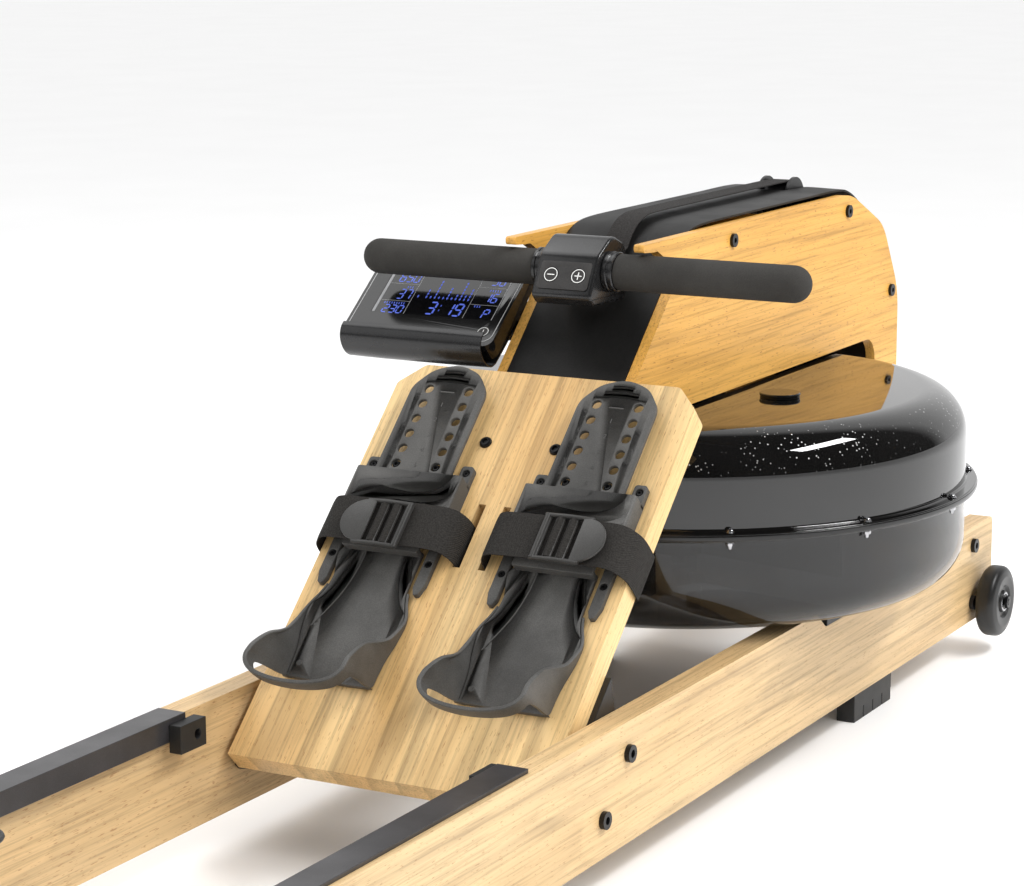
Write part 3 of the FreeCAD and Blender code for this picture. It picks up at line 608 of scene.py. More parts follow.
SOLE = [(294, 38.3), (262, 38.3), (250, 39.4), (240, 42.4), (231, 46.4), (223, 48.0),
        (211, 46.8), (199, 44.8), (186, 42.0), (172, 40.8), (160, 40.2), (157, 38.6)]


def cup_wall(name, mid):
    stations = [(a, mid + b, c, d, mid + e, f) for a, b, c, d, e, f in CUP]
    stations += [(a, mid - b, c, d, mid - e, f) for a, b, c, d, e, f in CUP[-2::-1]]
    path = smooth_path(stations, 4)
    rings = []
    for i, p in enumerate(path):
        ahead = path[min(i + 1, len(path) - 1)] - path[max(i - 1, 0)]
        out = Vector((-ahead[1], ahead[0])).normalized()
        low, rim = Vector((p[3], p[4], p[5])), Vector((p[0], p[1], p[2]))
        tall = rim[2] - low[2]
        lip = min(1.3, tall * 0.12)
        wall = min(3.0, 1.6 + tall * 0.06)
        away = Vector((*out, 0))
        outer = [low.lerp(rim, share) + away * swell * min(1, tall / 30)
                 for share, swell in ((0, 0), (0.25, -0.5), (0.6, -0.8), (0.86, -0.2))]
        top = [rim + away * lip - Vector((0, 0, min(2.4, tall * 0.2))),
               rim + away * lip - Vector((0, 0, min(0.8, tall * 0.1))),
               rim + away * lip * 0.4,
               rim - away * wall * 0.7]
        inner = [rim - away * wall - Vector((0, 0, 0.7)),
                 *(p - away * wall for p in reversed(outer))]
        rings.append(outer + top + inner)
    return loft(name, rings, BOARD)


LOCAL = Matrix.Identity(4)
FOOT_Y = 84.7  # middle of each footrest, to either side
PIN_Y = 20.3  # the tongue's two rows of holes, from the middle of the footrest
PITCH = 16.5  # from one hole to the next
for label, mid in (("left", FOOT_Y), ("right", -FOOT_Y)):
    body = "heel_" + label
    tongue_line = rounded([(288, mid - 38.3), (461, mid - 38.3), (480, mid - 24), (489, mid),
                           (480, mid + 24), (461, mid + 38.3), (288, mid + 38.3)],
                          [2, 22, 26, 60, 26, 22, 2], 7)
    holes = [circle(459.3 - PITCH * k, mid + w * PIN_Y, 4.6) for k in range(6) for w in (1, -1)]
    tongue = plate("tongue", tongue_line, holes, 10.5, 14.5, LOCAL, 0.6)
    lines = []
    for s, half, bow in ((480.5, 11, 1.0), (474.5, 17, 1.3), (468, 26, 1.6)):
        arc = smooth_path([(s - bow, mid - half, 14.6), (s, mid, 14.6),
                           (s - bow, mid + half, 14.6)], 6)
        lines.append(tube("line", arc, 0.55, LOCAL, 6))
    for ds, dy in ((450, 28.6), (417, 29), (384, 28.8), (433, -29), (401, -29.2)):
        lines.append(lathe("dimple", rim_disc(3.1, 14.25, 16, 0.1), (ds, mid + dy, 0), "z",
                           20, LOCAL))
    tongue = carve(tongue, joined("cuts", lines))
    sole_line = [(s, mid - y) for s, y in SOLE] + [(s, mid + y) for s, y in reversed(SOLE)]
    sole = plate("sole", [tuple(p) for p in smooth_path(sole_line + [sole_line[0]], 3)][:-1], [],
                 1, 5, LOCAL, 0.5)
    cuts = []
    for w in (1, -1):
        for arc in ([(292, 16), (268, 17), (244, 22), (222, 31), (208, 38)],
                    [(292, 24), (274, 25), (256, 30), (240, 38), (232, 45.5)],
                    [(292, 31), (282, 32), (272, 36), (264, 38.6)]):
            run = smooth_path([(s, mid + w * y, 5.2) for s, y in arc], 5)
            cuts.append(tube("line", run, 0.6, LOCAL, 6))
        for ds, dy in ((213, 34), (171, 33)):
            cuts.append(lathe("dimple", [(2.6, 4.6), (3.2, 4.6), (3.2, 6), (2.6, 6)],
                              (ds, mid + w * dy, 0), "z", 20, LOCAL))
    sole = carve(sole, joined("cuts", cuts))
    riser = plate("riser", rounded(rect(289, 294, mid - 38, mid + 38), 1), [], 1.5, 13.5, LOCAL,
                  0.4)
    slide = joined("slide", [tongue, sole, riser])
    slide.transform(BOARD)
    dash = tube("dash", [(457, mid - 7, 14.4), (457, mid + 7, 14.4)], 0.8, BOARD)
    slide = joined("slide", [slide, dash, cup_wall("cup", mid)])
    finish_mesh("heel_slide_shell_" + label, slide, "footrest_plastic", body, 32, flat=12,
                hides=["heel_slide_" + label])
    for k in range(5):
        digit = bpy.data.curves.new("size_number", "FONT")
        digit.body = str(k + 1)
        digit.size = 6.5
        digit.align_x = "CENTER"
        digit.align_y = "CENTER"
        digit.extrude = 0.18
        carrier = placed("size_number", digit)
        mark = evaluated(carrier)
        bpy.data.objects.remove(carrier)
        spin = Matrix.Rotation(-math.pi / 2, 4, "Z")
        mark.transform(BOARD @ Matrix.Translation((443 - PITCH * k, mid, 14.6)) @ spin)
        finish_mesh("size_number_%s_%d" % (label, k + 1), mark, "footrest_plastic", body)

    # fixed guide: an inverted channel with two tails, ears and screws
    section = rounded([(-53.7, 0), (-53.7, 20), (53.7, 20), (53.7, 0), (41.2, 0), (41.2, 15.2),
                       (-41.2, 15.2), (-41.2, 0)], [0, 3, 3, 0, 0, 1, 1, 0], 4)
    turn = Matrix(((0, 0, 1, 0), (1, 0, 0, mid), (0, 1, 0, 0), (0, 0, 0, 1)))
    channel = plate("channel", section, [], 306, 367.5, turn, 0.7)
    waves = []
    for wave in ([(367, -46), (356, -41), (348, -30), (345, -14), (346, 4), (348, 20),
                  (344, 36), (336, 47)],
                 [(360, -53), (346, -50), (338, -38), (335, -20), (336, 0), (334, 20),
                  (327, 40), (322, 50)],
                 [(342, -53.5), (334, -49), (330, -41)],
                 [(316, -30), (313, -8), (312, 14), (309, 30)]):
        run = smooth_path([(s, mid + y, 20.3) for s, y in wave], 6)
        waves.append(tube("line", run, 0.75, LOCAL, 6))
    channel = carve(channel, joined("cuts", waves))
    parts = [channel]
    for w in (1, -1):
        tail = rounded([(s, mid + w * y) for s, y in ((310, 43.5), (310, 53.7), (263, 53.7),
                                                      (252, 50.6), (251, 46.4), (258, 43.5))],
                       1.5, 3)
        parts.append(plate("tail", tail, [circle(283, mid + w * 48.6, 3.6)], 0, 6, LOCAL, 0.6))
        ear = rounded(rect(365, 386, mid + w * 41.5, mid + w * 53.7), [0, 3, 3, 0], 4)
        parts.append(plate("ear", ear, [circle(378.5, mid + w * 47.6, 3.8)], 0, 7, LOCAL, 0.6))
    guide = joined("guide", parts)
    guide.transform(BOARD)
    finish_mesh("footrest_guide_" + label, guide, "footrest_plastic", "frame", 32, flat=12,
                hides=["footrest_base_" + label])
    pins = []
    for w in (1, -1):
        side = mid + w * PIN_Y
        pins.append(screw_head("pin", (376.8, side, 10.5), 3.9, 2.6, BOARD, 0.5))
        pins.append(lathe("stem", rim_disc(4.0, 0, 10.2, 0.3), (376.8, side, 0), "z", 20, BOARD))
        for s, y, h in ((378.5, 47.6, 4.2), (283, 48.6, 3.4)):
            pins.append(screw_head("screw", (s, mid + w * y, h), 3.5, 1.9, BOARD, 0.4))
    finish_mesh("footrest_pins_" + label, joined("pins", pins), "black_hardware", "frame", 30)

# ---- straps and buckles
STRAP_WIDE, STRAP_THICK, BUCKLE_LONG = 44, 1.7, 47
for label, sign, s0 in (("left", 1, 287.5), ("right", -1, 290.5)):
    line = smooth_path([(sign * y, h) for y, h in (
        (14, -22), (13.6, -6), (14.2, 6), (19, 17), (27, 22.2), (40, 23.6), (62, 24.2), (90, 24.4),
        (118, 24.2), (134, 23.4), (143, 19.5), (150, 10), (152.6, 0), (152.8, -14), (151.5, -24),
        (140, -27), (122, -26.5))], 6)
    webbing_mesh = band("strap", line, s0, s0 + STRAP_WIDE, STRAP_THICK * sign, BOARD, "yz", 11)
    finish_mesh("strap_web_" + label, webbing_mesh, "strap_webbing", "frame", 50,
                hides=["strap_" + label])

frames = []
wraps = []
for sign, s0, y0, y1, y_tab in ((1, 281.5, 59, 104, 104), (-1, 287.5, 69, 115, 115)):
    s1 = s0 + BUCKLE_LONG
    a, b = sign * y0, sign * y1
    outer = rounded(rect(s0, s1, a, b), 3, 4)
    cells = []
    for u0, u1 in ((6, 11), (19, 23.5), (31.5, 37)):
        cells.append(rounded(rect(s0 + 3.2, s1 - 3.2, a + sign * u0, a + sign * u1), 1, 3))
    frames.append(plate("frame", outer, cells, 26.2, 29.4, BOARD, 0.8, 3))
    for s in (s0 + 1.8, s1 - 1.8):
        rail = smooth_path([(s, a, 28.6), (s, (a + b) / 2, 29.8), (s, b, 28.6)], 6)
        frames.append(tube("rail", rail, 1.9, BOARD, 10))
    frames.append(tube("bar", [(s0 + 1, a + sign * 2.4, 29.2), (s1 - 1, a + sign * 2.4, 29.2)], 2.3,
                       BOARD, 12))
    middle = (s0 + s1) / 2
    swell = [(middle + 21.5 * math.cos(t), sign * (y_tab - 4) + sign * 22 * math.sin(t))
             for t in (math.pi * k / 24 for k in range(25))]
    tab = [(middle - 21.5, b - sign * 9), *reversed(swell), (middle + 21.5, b - sign * 9)]
    tilted = Matrix.Translation((0, 0, 28.4)) @ Matrix.Translation((0, b, 0)) @ Matrix.Rotation(
        math.radians(3.0) * sign, 4, "X") @ Matrix.Translation((0, -b, 0))
    frames.append(plate("tab", tab, [], -0.2, 2.6, BOARD @ tilted, 0.9, 3))
    for u0, u1 in ((11, 19), (23.5, 31.5)):
        arch = smooth_path([(a + sign * (u0 + (u1 - u0) * k / 4),
                             27.4 + 3.6 * math.sin(math.pi * k / 4)) for k in range(5)], 4)
        wraps.append(band("wrap", arch, s0 + 3.6, s1 - 3.6, 1.5 * sign, BOARD, "yz", 7))
finish_mesh("buckle_frames", joined("buckle", frames), "buckle_plastic", "frame", 35,
            hides=["buckles"], flat=8)
finish_mesh("buckle_webbing", joined("wraps", wraps), "strap_webbing", "frame", 50)

# ---- handle
BAR = (429, 0, 472)  # middle of the handle bar
# SIDEWAYS stands an (x, z) outline up with its depth along y; FACE lies on the sloping key face.
SIDEWAYS = Matrix(((1, 0, 0, 0), (0, 0, 1, 0), (0, 1, 0, 0), (0, 0, 0, 1)))
FACE = Matrix(((0.507, 0, -0.862, 400), (0, 1, 0, 0), (0.862, 0, 0.507, 470), (0, 0, 0, 1)))
KEY_Y = {"minus": 13.5, "plus": -14}
for label, sign in SIDES:
    dome = [(16.5 * math.sin(t), 209.5 + 16.4 * math.cos(t))
            for t in (math.pi / 2 * k / 10 for k in range(10, -1, -1))]
    foam = [(10.2, 40.6), (15.4, 40.6), (16.5, 42.0), (16.5, 120), *dome[:-1], (0.01, 225.9),
            (0.01, 220), (10.2, 219)]
    finish_mesh("grip_foam_" + label, sideways("grip", foam, sign, BAR, 64), "grip_foam",
                "handle", 50, hides=["grip_" + label])
    ring = [(10.2, 30), (16.6, 30), (18.4, 31), (18.4, 34.6), (17.4, 35.4), (17.4, 36.6),
            (18.2, 37.4), (18.2, 40), (17.2, 40.7), (10.2, 40.7)]
    finish_mesh("grip_collar_" + label, sideways("collar", ring, sign, BAR, 64),
                "handle_plastic", "handle", 30, hides=["collars"] if sign > 0 else [])

hull = rounded([(391, 452), (409.5, 488), (437, 504), (461, 494), (468.4, 468), (459, 443.6),
                (400, 443.6)], [5, 14, 16, 14, 16, 5, 4], 8)
hull_mesh = plate("hull", hull, [], -30, 30, SIDEWAYS, 2.6, 4)
seam = plate("seam", rounded(rect(380, 480, -40, 40), 2),
             [rounded(rect(392.2, 466, -29.2, 29.2), 4)], 449.6, 450.5, LOCAL, 0.05)
hull_mesh = carve(hull_mesh, seam)
wells = joined("wells", [lathe("well", [(0, -3.4), (7.35, -3.4), (7.35, 4), (0, 4)], (0, y, 0),
                               "z", 40, FACE) for y in KEY_Y.values()])
hull_mesh = carve(hull_mesh, wells)
hull_mesh.transform(WORLD)
finish_mesh("handle_hull", hull_mesh, "handle_plastic", "handle", 40, flat=120,
            hides=["handle_module"])
on_face = WORLD @ FACE
membrane = plate("membrane", rounded(rect(-13.5, 13.5, -25.5, 25.5), 3),
                 [circle(0, y, 7.4, 40) for y in KEY_Y.values()], -0.3, 0.55, on_face, 0.2)
finish_mesh("key_membrane_sheet", membrane, "key_membrane", "handle", 40, flat=8)
for label, y in KEY_Y.items():
    marks = [lathe("ring", rect(5.9, 6.6, 0.5, 0.78), (0, y, 0), "z", 56, on_face)]
    strokes = [rect(-0.45, 0.45, y - 3.6, y + 3.6)]
    if label == "plus":
        strokes.append(rect(-3.6, 3.6, y - 0.45, y + 0.45))
    marks += [plate("bar", rounded(line, 0.2), [], 0.5, 0.78, on_face, 0.04) for line in strokes]
    finish_mesh("key_mark_" + label, joined("marks", marks), "key_membrane", "key_" + label,
                paint="print_white")

# ---- monitor
DIGITS = {"0": "abcdef", "1": "bc", "2": "abged", "3": "abgcd", "5": "afgcd", "6": "afgedc",
          "7": "abc", "8": "abcdefg", "9": "abcdfg", "P": "abefg"}
BARS = {"a": ((0, 1), (1, 1)), "b": ((1, 1), (1, 0.5)), "c": ((1, 0.5), (1, 0)),
        "d": ((0, 0), (1, 0)), "e": ((0, 0.5), (0, 0)), "f": ((0, 1), (0, 0.5)),
        "g": ((0, 0.5), (1, 0.5))}


def stroke(points, faces, a, b, width):
    """One pointed display segment between two (s, y) spots."""
    a, b = Vector(a), Vector(b)
    along = (b - a).normalized()
    side_way = Vector((-along[1], along[0])) * width / 2
    a, b = a + along * width * 0.25, b - along * width * 0.25
    rim = [a, a + along * width / 2 + side_way, b - along * width / 2 + side_way, b,
           b - along * width / 2 - side_way, a + along * width / 2 - side_way]
    first = len(points)
    for h in (-0.12, -0.25):
        points.extend((p[0], p[1], h) for p in rim)
    faces.append(tuple(first + k for k in range(6)))
    faces.append(tuple(first + 11 - k for k in range(6)))
    for k in range(6):
        n = (k + 1) % 6
        faces.append((first + k, first + n, first + 6 + n, first + 6 + k))


def write_number(points, faces, text, s, y, tall, wide, pitch, width):
    """Right-aligned seven-segment figures whose right edge is at y and foot at s."""
    for k, letter in enumerate(reversed(text)):
        left = y + k * pitch + wide
        for bar in DIGITS[letter]:
            (u0, v0), (u1, v1) = BARS[bar]
            stroke(points, faces, (s + v0 * tall, left - u0 * wide - v0 * 1.0),
                   (s + v1 * tall, left - u1 * wide - v1 * 1.0), width)


def block(points, faces, s0, s1, y0, y1):
    stroke(points, faces, ((s0 + s1) / 2, y0), ((s0 + s1) / 2, y1), s1 - s0)


points, faces = [], []
for text, s, y, tall in (("650", 37.5, 183, 12), ("37", 15.5, 183.5, 12), ("230", -3.0, 184, 9.5),
                         ("98", 41, 92, 11), ("16", 19, 92, 11), ("P", -1.5, 93, 11)):
    write_number(points, faces, text, s, y, tall, 5.4, 7.6, 1.3)
write_number(points, faces, "19", -1.2, 122, 15, 7.2, 10.2, 1.8)
write_number(points, faces, "3", -1.2, 150.5, 15, 7.2, 10.2, 1.8)
for s in (3.2, 9.2):
    block(points, faces, s, s + 1.9, 144, 146)
for k, tall in enumerate((1, 0, 3, 1, 6, 1, 1, 4, 1, 2, 6, 2, 4)):
    for level in range(tall):
        s, y = 18.5 + level * 4.1, 172.6 - k * 4.5
        block(points, faces, s, s + 3.2, y, y + 3.8)
for s, y0, y1 in ((51.3, 183, 200), (29.5, 184, 194), (8.2, 184, 208), (54.5, 91, 104),
                  (32.5, 91, 106), (11.5, 104, 112)):
    for k in range(int((y1 - y0) / 2.6)):
        block(points, faces, s, s + 2.4, y0 + k * 2.6, y0 + k * 2.6 + 2.1)
finish_mesh("display_figures", raw("figures", points, faces, SCREEN), "monitor_glass", "monitor",
            paint="display_blue")
rules = [plate("rule", rect(*line), [], -0.3, -0.12, SCREEN, 0.02)
         for line in ((-3.4, 66, 179.5, 180.0), (-3.4, 66, 116.3, 116.8),
                      (12.3, 12.7, 180, 211), (34.6, 35.0, 180, 211), (57.6, 58.0, 180, 211),
                      (14.8, 15.2, 87, 116.6), (37.2, 37.6, 87, 116.6), (59.6, 60, 87, 116.6))]
rules += [plate("strip", rect(-3, 66, y0, y1), [], -0.3, -0.1, SCREEN, 0.02)
          for y0, y1 in ((211.6, 214.4), (85.6, 86.4))]
finish_mesh("display_rules", joined("rules", rules), "monitor_glass", "monitor",
            paint="display_rule")
edge_line = rounded(rect(-30, 74, 76.5, 231), 9, 6)
edge_out = rounded(rect(-30.7, 74.7, 75.8, 231.7), 9.7, 6)
finish_mesh("bezel_line", plate("bezel_line", edge_out, [edge_line], -0.3, 0.16, SCREEN, 0.05),
            "monitor_plastic", "monitor", paint="bezel_grey")
power = [lathe("ring", rect(4.9, 5.5, 0.2, 0.42), (-18.5, 87.6, 0), "z", 48, SCREEN),
         plate("bar", rect(-18.7, -15.8, 87.2, 88.0), [], 0.2, 0.42, SCREEN, 0.05)]
finish_mesh("power_mark", joined("power", power), "monitor_plastic", "power_button",
            paint="print_white")

profile = smooth_path([(-31.5, 13.2), (-38, 12.4), (-44.5, 7.5), (-47.6, -1), (-47.2, -10),
                       (-43, -19), (-36, -23.6), (-26, -24.6), (10, -24.6), (46, -24.6)], 6)
trough = band("trough", profile, 76, 226, -2.5, LOCAL, "xz", 5)
hooks = []
for y0 in (204, 112):
    hook = smooth_path([(-44.5, y0, 5.5), (-47.2, y0 + 0.2, -0.5), (-47.6, y0 - 2.5, -6.5),
                        (-46, y0 - 7, -9.4), (-45.2, y0 - 14, -10.4), (-45.2, y0 - 27, -10.8)], 6)
    hooks.append(tube("hook", hook, 2.3, LOCAL, 12))
trough = carve(trough, joined("hooks", hooks))
trough.transform(SCREEN)
boss = lathe("boss", rounded(rect(7.2, 12, 76, 118), [0.4, 1.2, 1.2, 0.4], 3),
             (20, 0, -33), "y", 48, SCREEN)
finish_mesh("monitor_trough", joined("trough", [trough, boss]), "cradle_plastic", "monitor", 35,
            hides=["monitor_cradle"])

# ---- covers and belt
BELT_HALF, BELT_THICK = 12.4, 1.8
HOOD_HALF, HOOD_THICK = 59.6, 3.6
sheet_line = [(375.5, 352.4), (405, 381.2), (450, 425), (478, 452.2), (494, 468.5),
              (507, 483.5), (522, 494), (542, 500.4), (569, 502.6), (610, 503), (700, 503),
              (800, 503), (880, 503), (915, 499), (949, 483), (986, 455), (1012, 420),
              (1027, 392), (1033, 360), (1033, 300)]
hood = band("hood", smooth_path(sheet_line, 6), -HOOD_HALF, HOOD_HALF, HOOD_THICK, LOCAL, "xz", 5)
hood = carve(hood, plate("opening", rounded(rect(847, 907, -19.5, 19.5), 4), [], 480, 520, LOCAL,
                         0.2))
hood.transform(WORLD)
finish_mesh("top_hood", hood, "cover_plastic", "frame", 30, hides=["cover"])
wrap = [(877 + 19.6 * math.sin(t), 492.6 + 19.6 * math.cos(t)) for t in (0.3, 0.7, 1.1, 1.45)]
run = smooth_path([(501, 484.6), (506, 491), (514, 498.6), (524, 505), (538, 509.6), (560, 511.6),
                   (640, 512), (760, 512.2), (860, 512.2), *wrap, (896.6, 484)], 6)
belt = band("belt", run, -BELT_HALF, BELT_HALF, BELT_THICK, WORLD, "xz", 7)
finish_mesh("belt_band", belt, "belt_webbing", "frame", 50, hides=["belt_run"])
LINKS = 24
free = [Vector((467.5 + 33.5 * k / LINKS, 474 + 10.6 * k / LINKS)) for k in range(LINKS + 1)]
link = band("belt_link", free, -BELT_HALF, BELT_HALF, BELT_THICK, WORLD, "xz", 7)
piece = finish_mesh("belt_stretch", link, "belt_webbing", None, 50, hides=["belt_free"])
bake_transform(piece)

# ---- water tank
TANK = (643, 0, 0)  # the tank's axis on the floor
WALL, SKIN, RIM = 276.7, 4, 287.6  # outer radius, thickness and flange radius of both bowls


def bowl(label, core, base, floor, flange, seam, radii):
    """Half of the tank, from its base at the axis out to the flange and back inside."""
    section = [(core, base), (WALL, base), (WALL, flange), (RIM, flange), (RIM, seam),
               (WALL - SKIN, seam), (WALL - SKIN, floor), (core, floor)]
    shell = lathe(label, rounded(section, radii, 14), TANK, "z", 160)
    finish_mesh(label + "_bowl", shell, "tank_clear", "frame", 40,
                hides=["tank_%s_bowl" % label])


bowl("lower", 0.01, 150, 154, 241.3, 245.0, [0, 60, 2.5, 1.4, 0.8, 0.5, 56, 0])
bowl("upper", 9, 337, 333, 249.3, 245.6, [0.5, 80, 2.5, 1.4, 0.8, 0.5, 76, 0.5])
gasket = rounded(rect(271, 288.2, 242.6, 248.0), 1.2, 3)
finish_mesh("flange_gasket", lathe("gasket", gasket, TANK, "z", 160), "tank_trim", "frame", 40)
fixings = []
FIXINGS, FIXING_RING, FIRST_TURN = 13, 281, -145.4
for k in range(FIXINGS):
    turn = math.radians(k * 360 / FIXINGS + FIRST_TURN)
    at = (TANK[0] + FIXING_RING * math.cos(turn), FIXING_RING * math.sin(turn), 0)
    washer = rounded(rect(0.01, 4.6, 249.4, 250.2), [0, 0.3, 0.3, 0], 2)
    fixings.append(lathe("washer", washer, at, "z", 20))
    dome = [(0.01, 250.1), (3.6, 250.1), (3.6, 250.9), (3.0, 252.0), (1.9, 252.7), (0.01, 253.0)]
    fixings.append(lathe("dome", dome, at, "z", 20))
    nut = [(0.01, 237.6), (3.7, 237.6), (3.9, 238), (3.9, 240.6), (3.7, 241.1), (0.01, 241.1)]
    fixings.append(lathe("nut", nut, at, "z", 6))
    stud = [(0.01, 234.2), (1.5, 234.2), (1.9, 234.8), (1.9, 238), (0.01, 238)]
    fixings.append(lathe("stud", stud, at, "z", 12))
finish_mesh("flange_fixings", joined("fixings", fixings), "bright_steel", "frame", 30,
            hides=["tank_screws"])
ring = rounded(rect(174, 200, 142.2, 150), [1, 1, 3, 1], 4)
finish_mesh("tank_foot_ring", lathe("ring", ring, TANK, "z", 120), "tank_trim", "frame", 40,
            hides=["tank_base_ring"])
knob = [(0.01, 333.4), (14.8, 333.4), (14.8, 337.1), (18.4, 337.1), (18.9, 337.6), (18.9, 338.7),
        (18.1, 339.0), (18.1, 339.5), (19.4, 339.9), (19.4, 341.2), (18.6, 342), (0.01, 342)]
finish_mesh("filler_plug", lathe("knob", knob, (606, -121, 0), "z", 64), "tank_trim",
            "tank_plug", 35, hides=["tank_plug"])

# ---- transport wheels
WHEEL = (1013, 0, 57.5)  # middle of the transport axle
for label, sign in SIDES:
    tyre = rounded([(4.4, 187.2), (11, 187.2), (12, 190), (16, 190), (18, 187.4), (27, 186.3),
                    (38, 189), (38, 207), (27, 209.7), (18, 208.6), (16, 206), (12, 206),
                    (11, 208.8), (4.4, 208.8)],
                   [0.3, 0.5, 0.5, 0.5, 1, 6, 9, 9, 6, 1, 0.5, 0.5, 0.5, 0.3], 7)
    finish_mesh("tyre_" + label, sideways("tyre", tyre, sign, WHEEL, 96), "wheel_urethane",
                "wheel_" + label, 30, hides=["wheel_" + label])
    race = [(8.2, 205.8), (10.4, 205.8), (10.4, 209.2), (9.9, 209.5), (8.7, 209.5), (8.2, 209.2)]
    finish_mesh("bearing_" + label, sideways("race", race, sign, WHEEL, 64), "bright_steel",
                "wheel_" + label, 30)
    axle = [(0.01, 180.1), (4, 180.1), (4, 213.6), (3.2, 214.2), (0.01, 214.2)]
    nut = [(0.01, 210.4), (6.8, 210.4), (7.2, 210.8), (7.2, 213.2), (6.6, 213.7), (0.01, 213.7)]
    spacer = [(0.01, 180.1), (10.8, 180.1), (10.8, 185.4), (0.01, 185.4)]
    rod = [sideways("axle", axle, sign, WHEEL, 24), sideways("nut", nut, sign, WHEEL, 6),
           sideways("spacer", spacer, sign, WHEEL, 32)]
    finish_mesh("wheel_bolt_" + label, joined("axle", rod), "black_hardware", "frame", 30,
                hides=["wheel_axles"] if sign > 0 else [])

# ---- seat cushion
PAD_X, PAD_LONG, PAD_WIDE = -684, 124.0, 148.0
CLOTH_STEPS = 20


def pad_ring(z, inset, corner=0.22):
    """One level of the cushion: a squared oval whose sides pull in between the corners."""
    ring = []
    for k in range(96):
        t = 2 * math.pi * k / 96
        c, s = math.cos(t), math.sin(t)
        x = math.copysign(abs(c) ** corner, c) * (PAD_LONG - inset)
        y = math.copysign(abs(s) ** corner, s) * (PAD_WIDE - inset)
        pull = 2.2 * (abs(math.cos(2 * t)) ** 2)
        ring.append((PAD_X + x * (1 - pull / PAD_LONG), y * (1 - pull / PAD_WIDE), z))
    return ring


levels = [(259, 14), (258.4, 7), (259.2, 3), (262, 1.0), (270, 0.6), (282, 2.4), (291, 5.0),
          (296, 8.5), (299, 14), (300.4, 24), (301, 44), (301, 80)]
cushion = loft("cushion", [pad_ring(z, inset, 0.24 + inset * 0.004) for z, inset in levels])
pad = finish_mesh("seat_cushion", cushion, "seat_cover", "seat", 60, hides=["seat_pad"])


def inflate(piece, voxel, pressure, cap, floor_z):
    """Stuff the closed form: remesh, run Cloth under pressure, and limit how far it moves."""
    remesh = piece.modifiers.new("Remesh", "REMESH")
    remesh.mode = "VOXEL"
    remesh.voxel_size = voxel
    even = evaluated(piece)
    piece.modifiers.clear()
    piece.data = even
    even.materials.clear()
    even.materials.append(MAT["seat_cover"])
    rest = [v.co.copy() for v in even.vertices]
    pins = piece.vertex_groups.new(name="pins")
    pins.add([v.index for v in even.vertices if v.co.z < floor_z], 1.0, "REPLACE")
    cloth = piece.modifiers.new("Cloth", "CLOTH")
    setting = cloth.settings
    setting.quality = 5
    setting.use_pressure = True
    setting.uniform_pressure_force = pressure
    setting.tension_stiffness = 25
    setting.compression_stiffness = 25
    setting.bending_stiffness = 4
    setting.effector_weights.gravity = 0
    setting.vertex_group_mass = "pins"
    cloth.point_cache.frame_start = 1
    cloth.point_cache.frame_end = CLOTH_STEPS
    for step in range(1, CLOTH_STEPS + 1):
        bpy.context.scene.frame_set(step)
    blown = evaluated(piece)
    piece.modifiers.clear()
    for v, before in zip(blown.vertices, rest):
        move = v.co - before
        if move.length > cap:
            move *= cap / move.length
        v.co = before + move
    piece.data = blown
    bpy.context.scene.frame_set(1)
    piece.data.polygons.foreach_set("use_smooth", [True] * len(piece.data.polygons))
    even_out = piece.modifiers.new("Smooth", "SMOOTH")
    even_out.iterations = 6
    finer = piece.modifiers.new("Subdivision", "SUBSURF")
    finer.levels = finer.render_levels = 1


inflate(pad, voxel=0.006, pressure=4.0, cap=0.004, floor_z=0.262)
ring = pad_ring(262.2, 0.2)
finish_mesh("seat_piping", tube("piping", ring + ring[:2], 1.7, WORLD), "seat_cover", "seat", 60)


# ---- floor, light and camera
FLOOR_HALF = 40000
sheet = rect(-FLOOR_HALF, FLOOR_HALF, -FLOOR_HALF, FLOOR_HALF)
floor = raw("studio_floor", [(x, y, 0) for x, y in sheet], [(0, 1, 2, 3)])
floor_made, floor_tree, floor_shader = start("studio_floor", Roughness=0.9,
                                             Specular_IOR_Level=0.1)
paper = ramp(floor_tree, noise(floor_tree, spot(floor_tree), 3, 3), ((0.3, 0.96), (0.7, 0.98)))
floor_tree.links.new(paper, floor_shader.inputs["Base Color"])
floor.materials.append(floor_made)
ground = placed("studio_floor", floor)

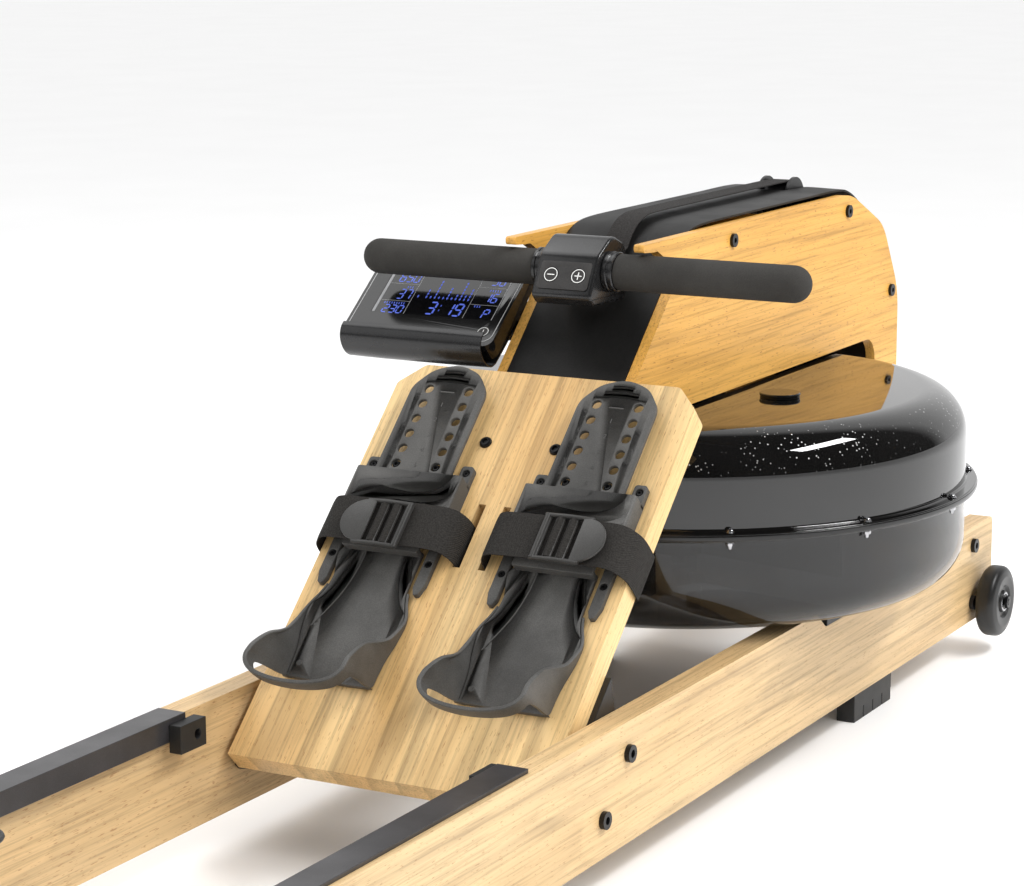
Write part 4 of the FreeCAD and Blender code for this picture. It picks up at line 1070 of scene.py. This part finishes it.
world = bpy.data.worlds.new("studio")
bpy.context.scene.world = world
world.use_nodes = True
sky = world.node_tree
aim = add(sky, "VectorMath", {0: add(sky, "TexCoord").outputs["Generated"], 1: (0.86, 0.48, 0.12)},
          operation="DOT_PRODUCT").outputs["Value"]
seen_sky = ramp(sky, aim, ((0.0, 0.03), (0.42, 0.06), (0.60, 0.9), (1.0, 1.0)))
mirror = add(sky, "LightPath").outputs["Is Glossy Ray"]
shine = sky.nodes["Background"]
feed(sky, shine.inputs["Color"], mix(sky, "MIX", mirror, (1.0, 1.0, 1.0), seen_sky))
shine.inputs["Strength"].default_value = 0.97


def softbox(name, place, aim, size, power, shape=(1, 1)):
    lamp = bpy.data.lights.new(name, "AREA")
    lamp.shape = "RECTANGLE"
    lamp.size = size * shape[0]
    lamp.size_y = size * shape[1]
    lamp.energy = power
    holder = placed(name, lamp)
    holder.location = place
    holder.rotation_euler = (Vector(aim) - Vector(place)).to_track_quat("-Z", "Y").to_euler()
    return holder


key = softbox("key_light", (-0.6, -2.6, 2.6), (0.4, 0, 0.2), 1.6, 36)
key.visible_glossy = False
softbox("fill_light", (-1.6, 2.2, 2.0), (0.3, 0, 0.3), 2.2, 16)
softbox("top_light", (0.6, 1.5, 2.9), (0.4, 0, 0.3), 1.8, 22)
softbox("strip_light", (0.93, -1.62, 2.12), (0.49, -0.21, 0.31), 1.2, 34, (1.0, 0.22))

CAMERA_AT = (-1.8266, -1.1801, 0.812)
YAW, PITCH, ROLL = math.radians(29.0), math.radians(11.1), math.radians(-0.2)
forward = Vector((math.cos(YAW) * math.cos(PITCH), math.sin(YAW) * math.cos(PITCH),
                  -math.sin(PITCH)))
right = Vector((math.sin(YAW), -math.cos(YAW), 0))
up = right.cross(forward)
tilt_right = right * math.cos(ROLL) + up * math.sin(ROLL)
tilt_up = up * math.cos(ROLL) - right * math.sin(ROLL)
lens = bpy.data.cameras.new("camera")
lens.sensor_width = 36
lens.lens = 99.9
lens.clip_start = 0.05
lens.clip_end = 200
camera = placed("camera", lens)
camera.matrix_world = Matrix.Translation(CAMERA_AT) @ Matrix((
    tilt_right, tilt_up, -forward)).transposed().to_4x4()
bpy.context.scene.camera = camera
bpy.context.scene.view_settings.view_transform = "Standard"
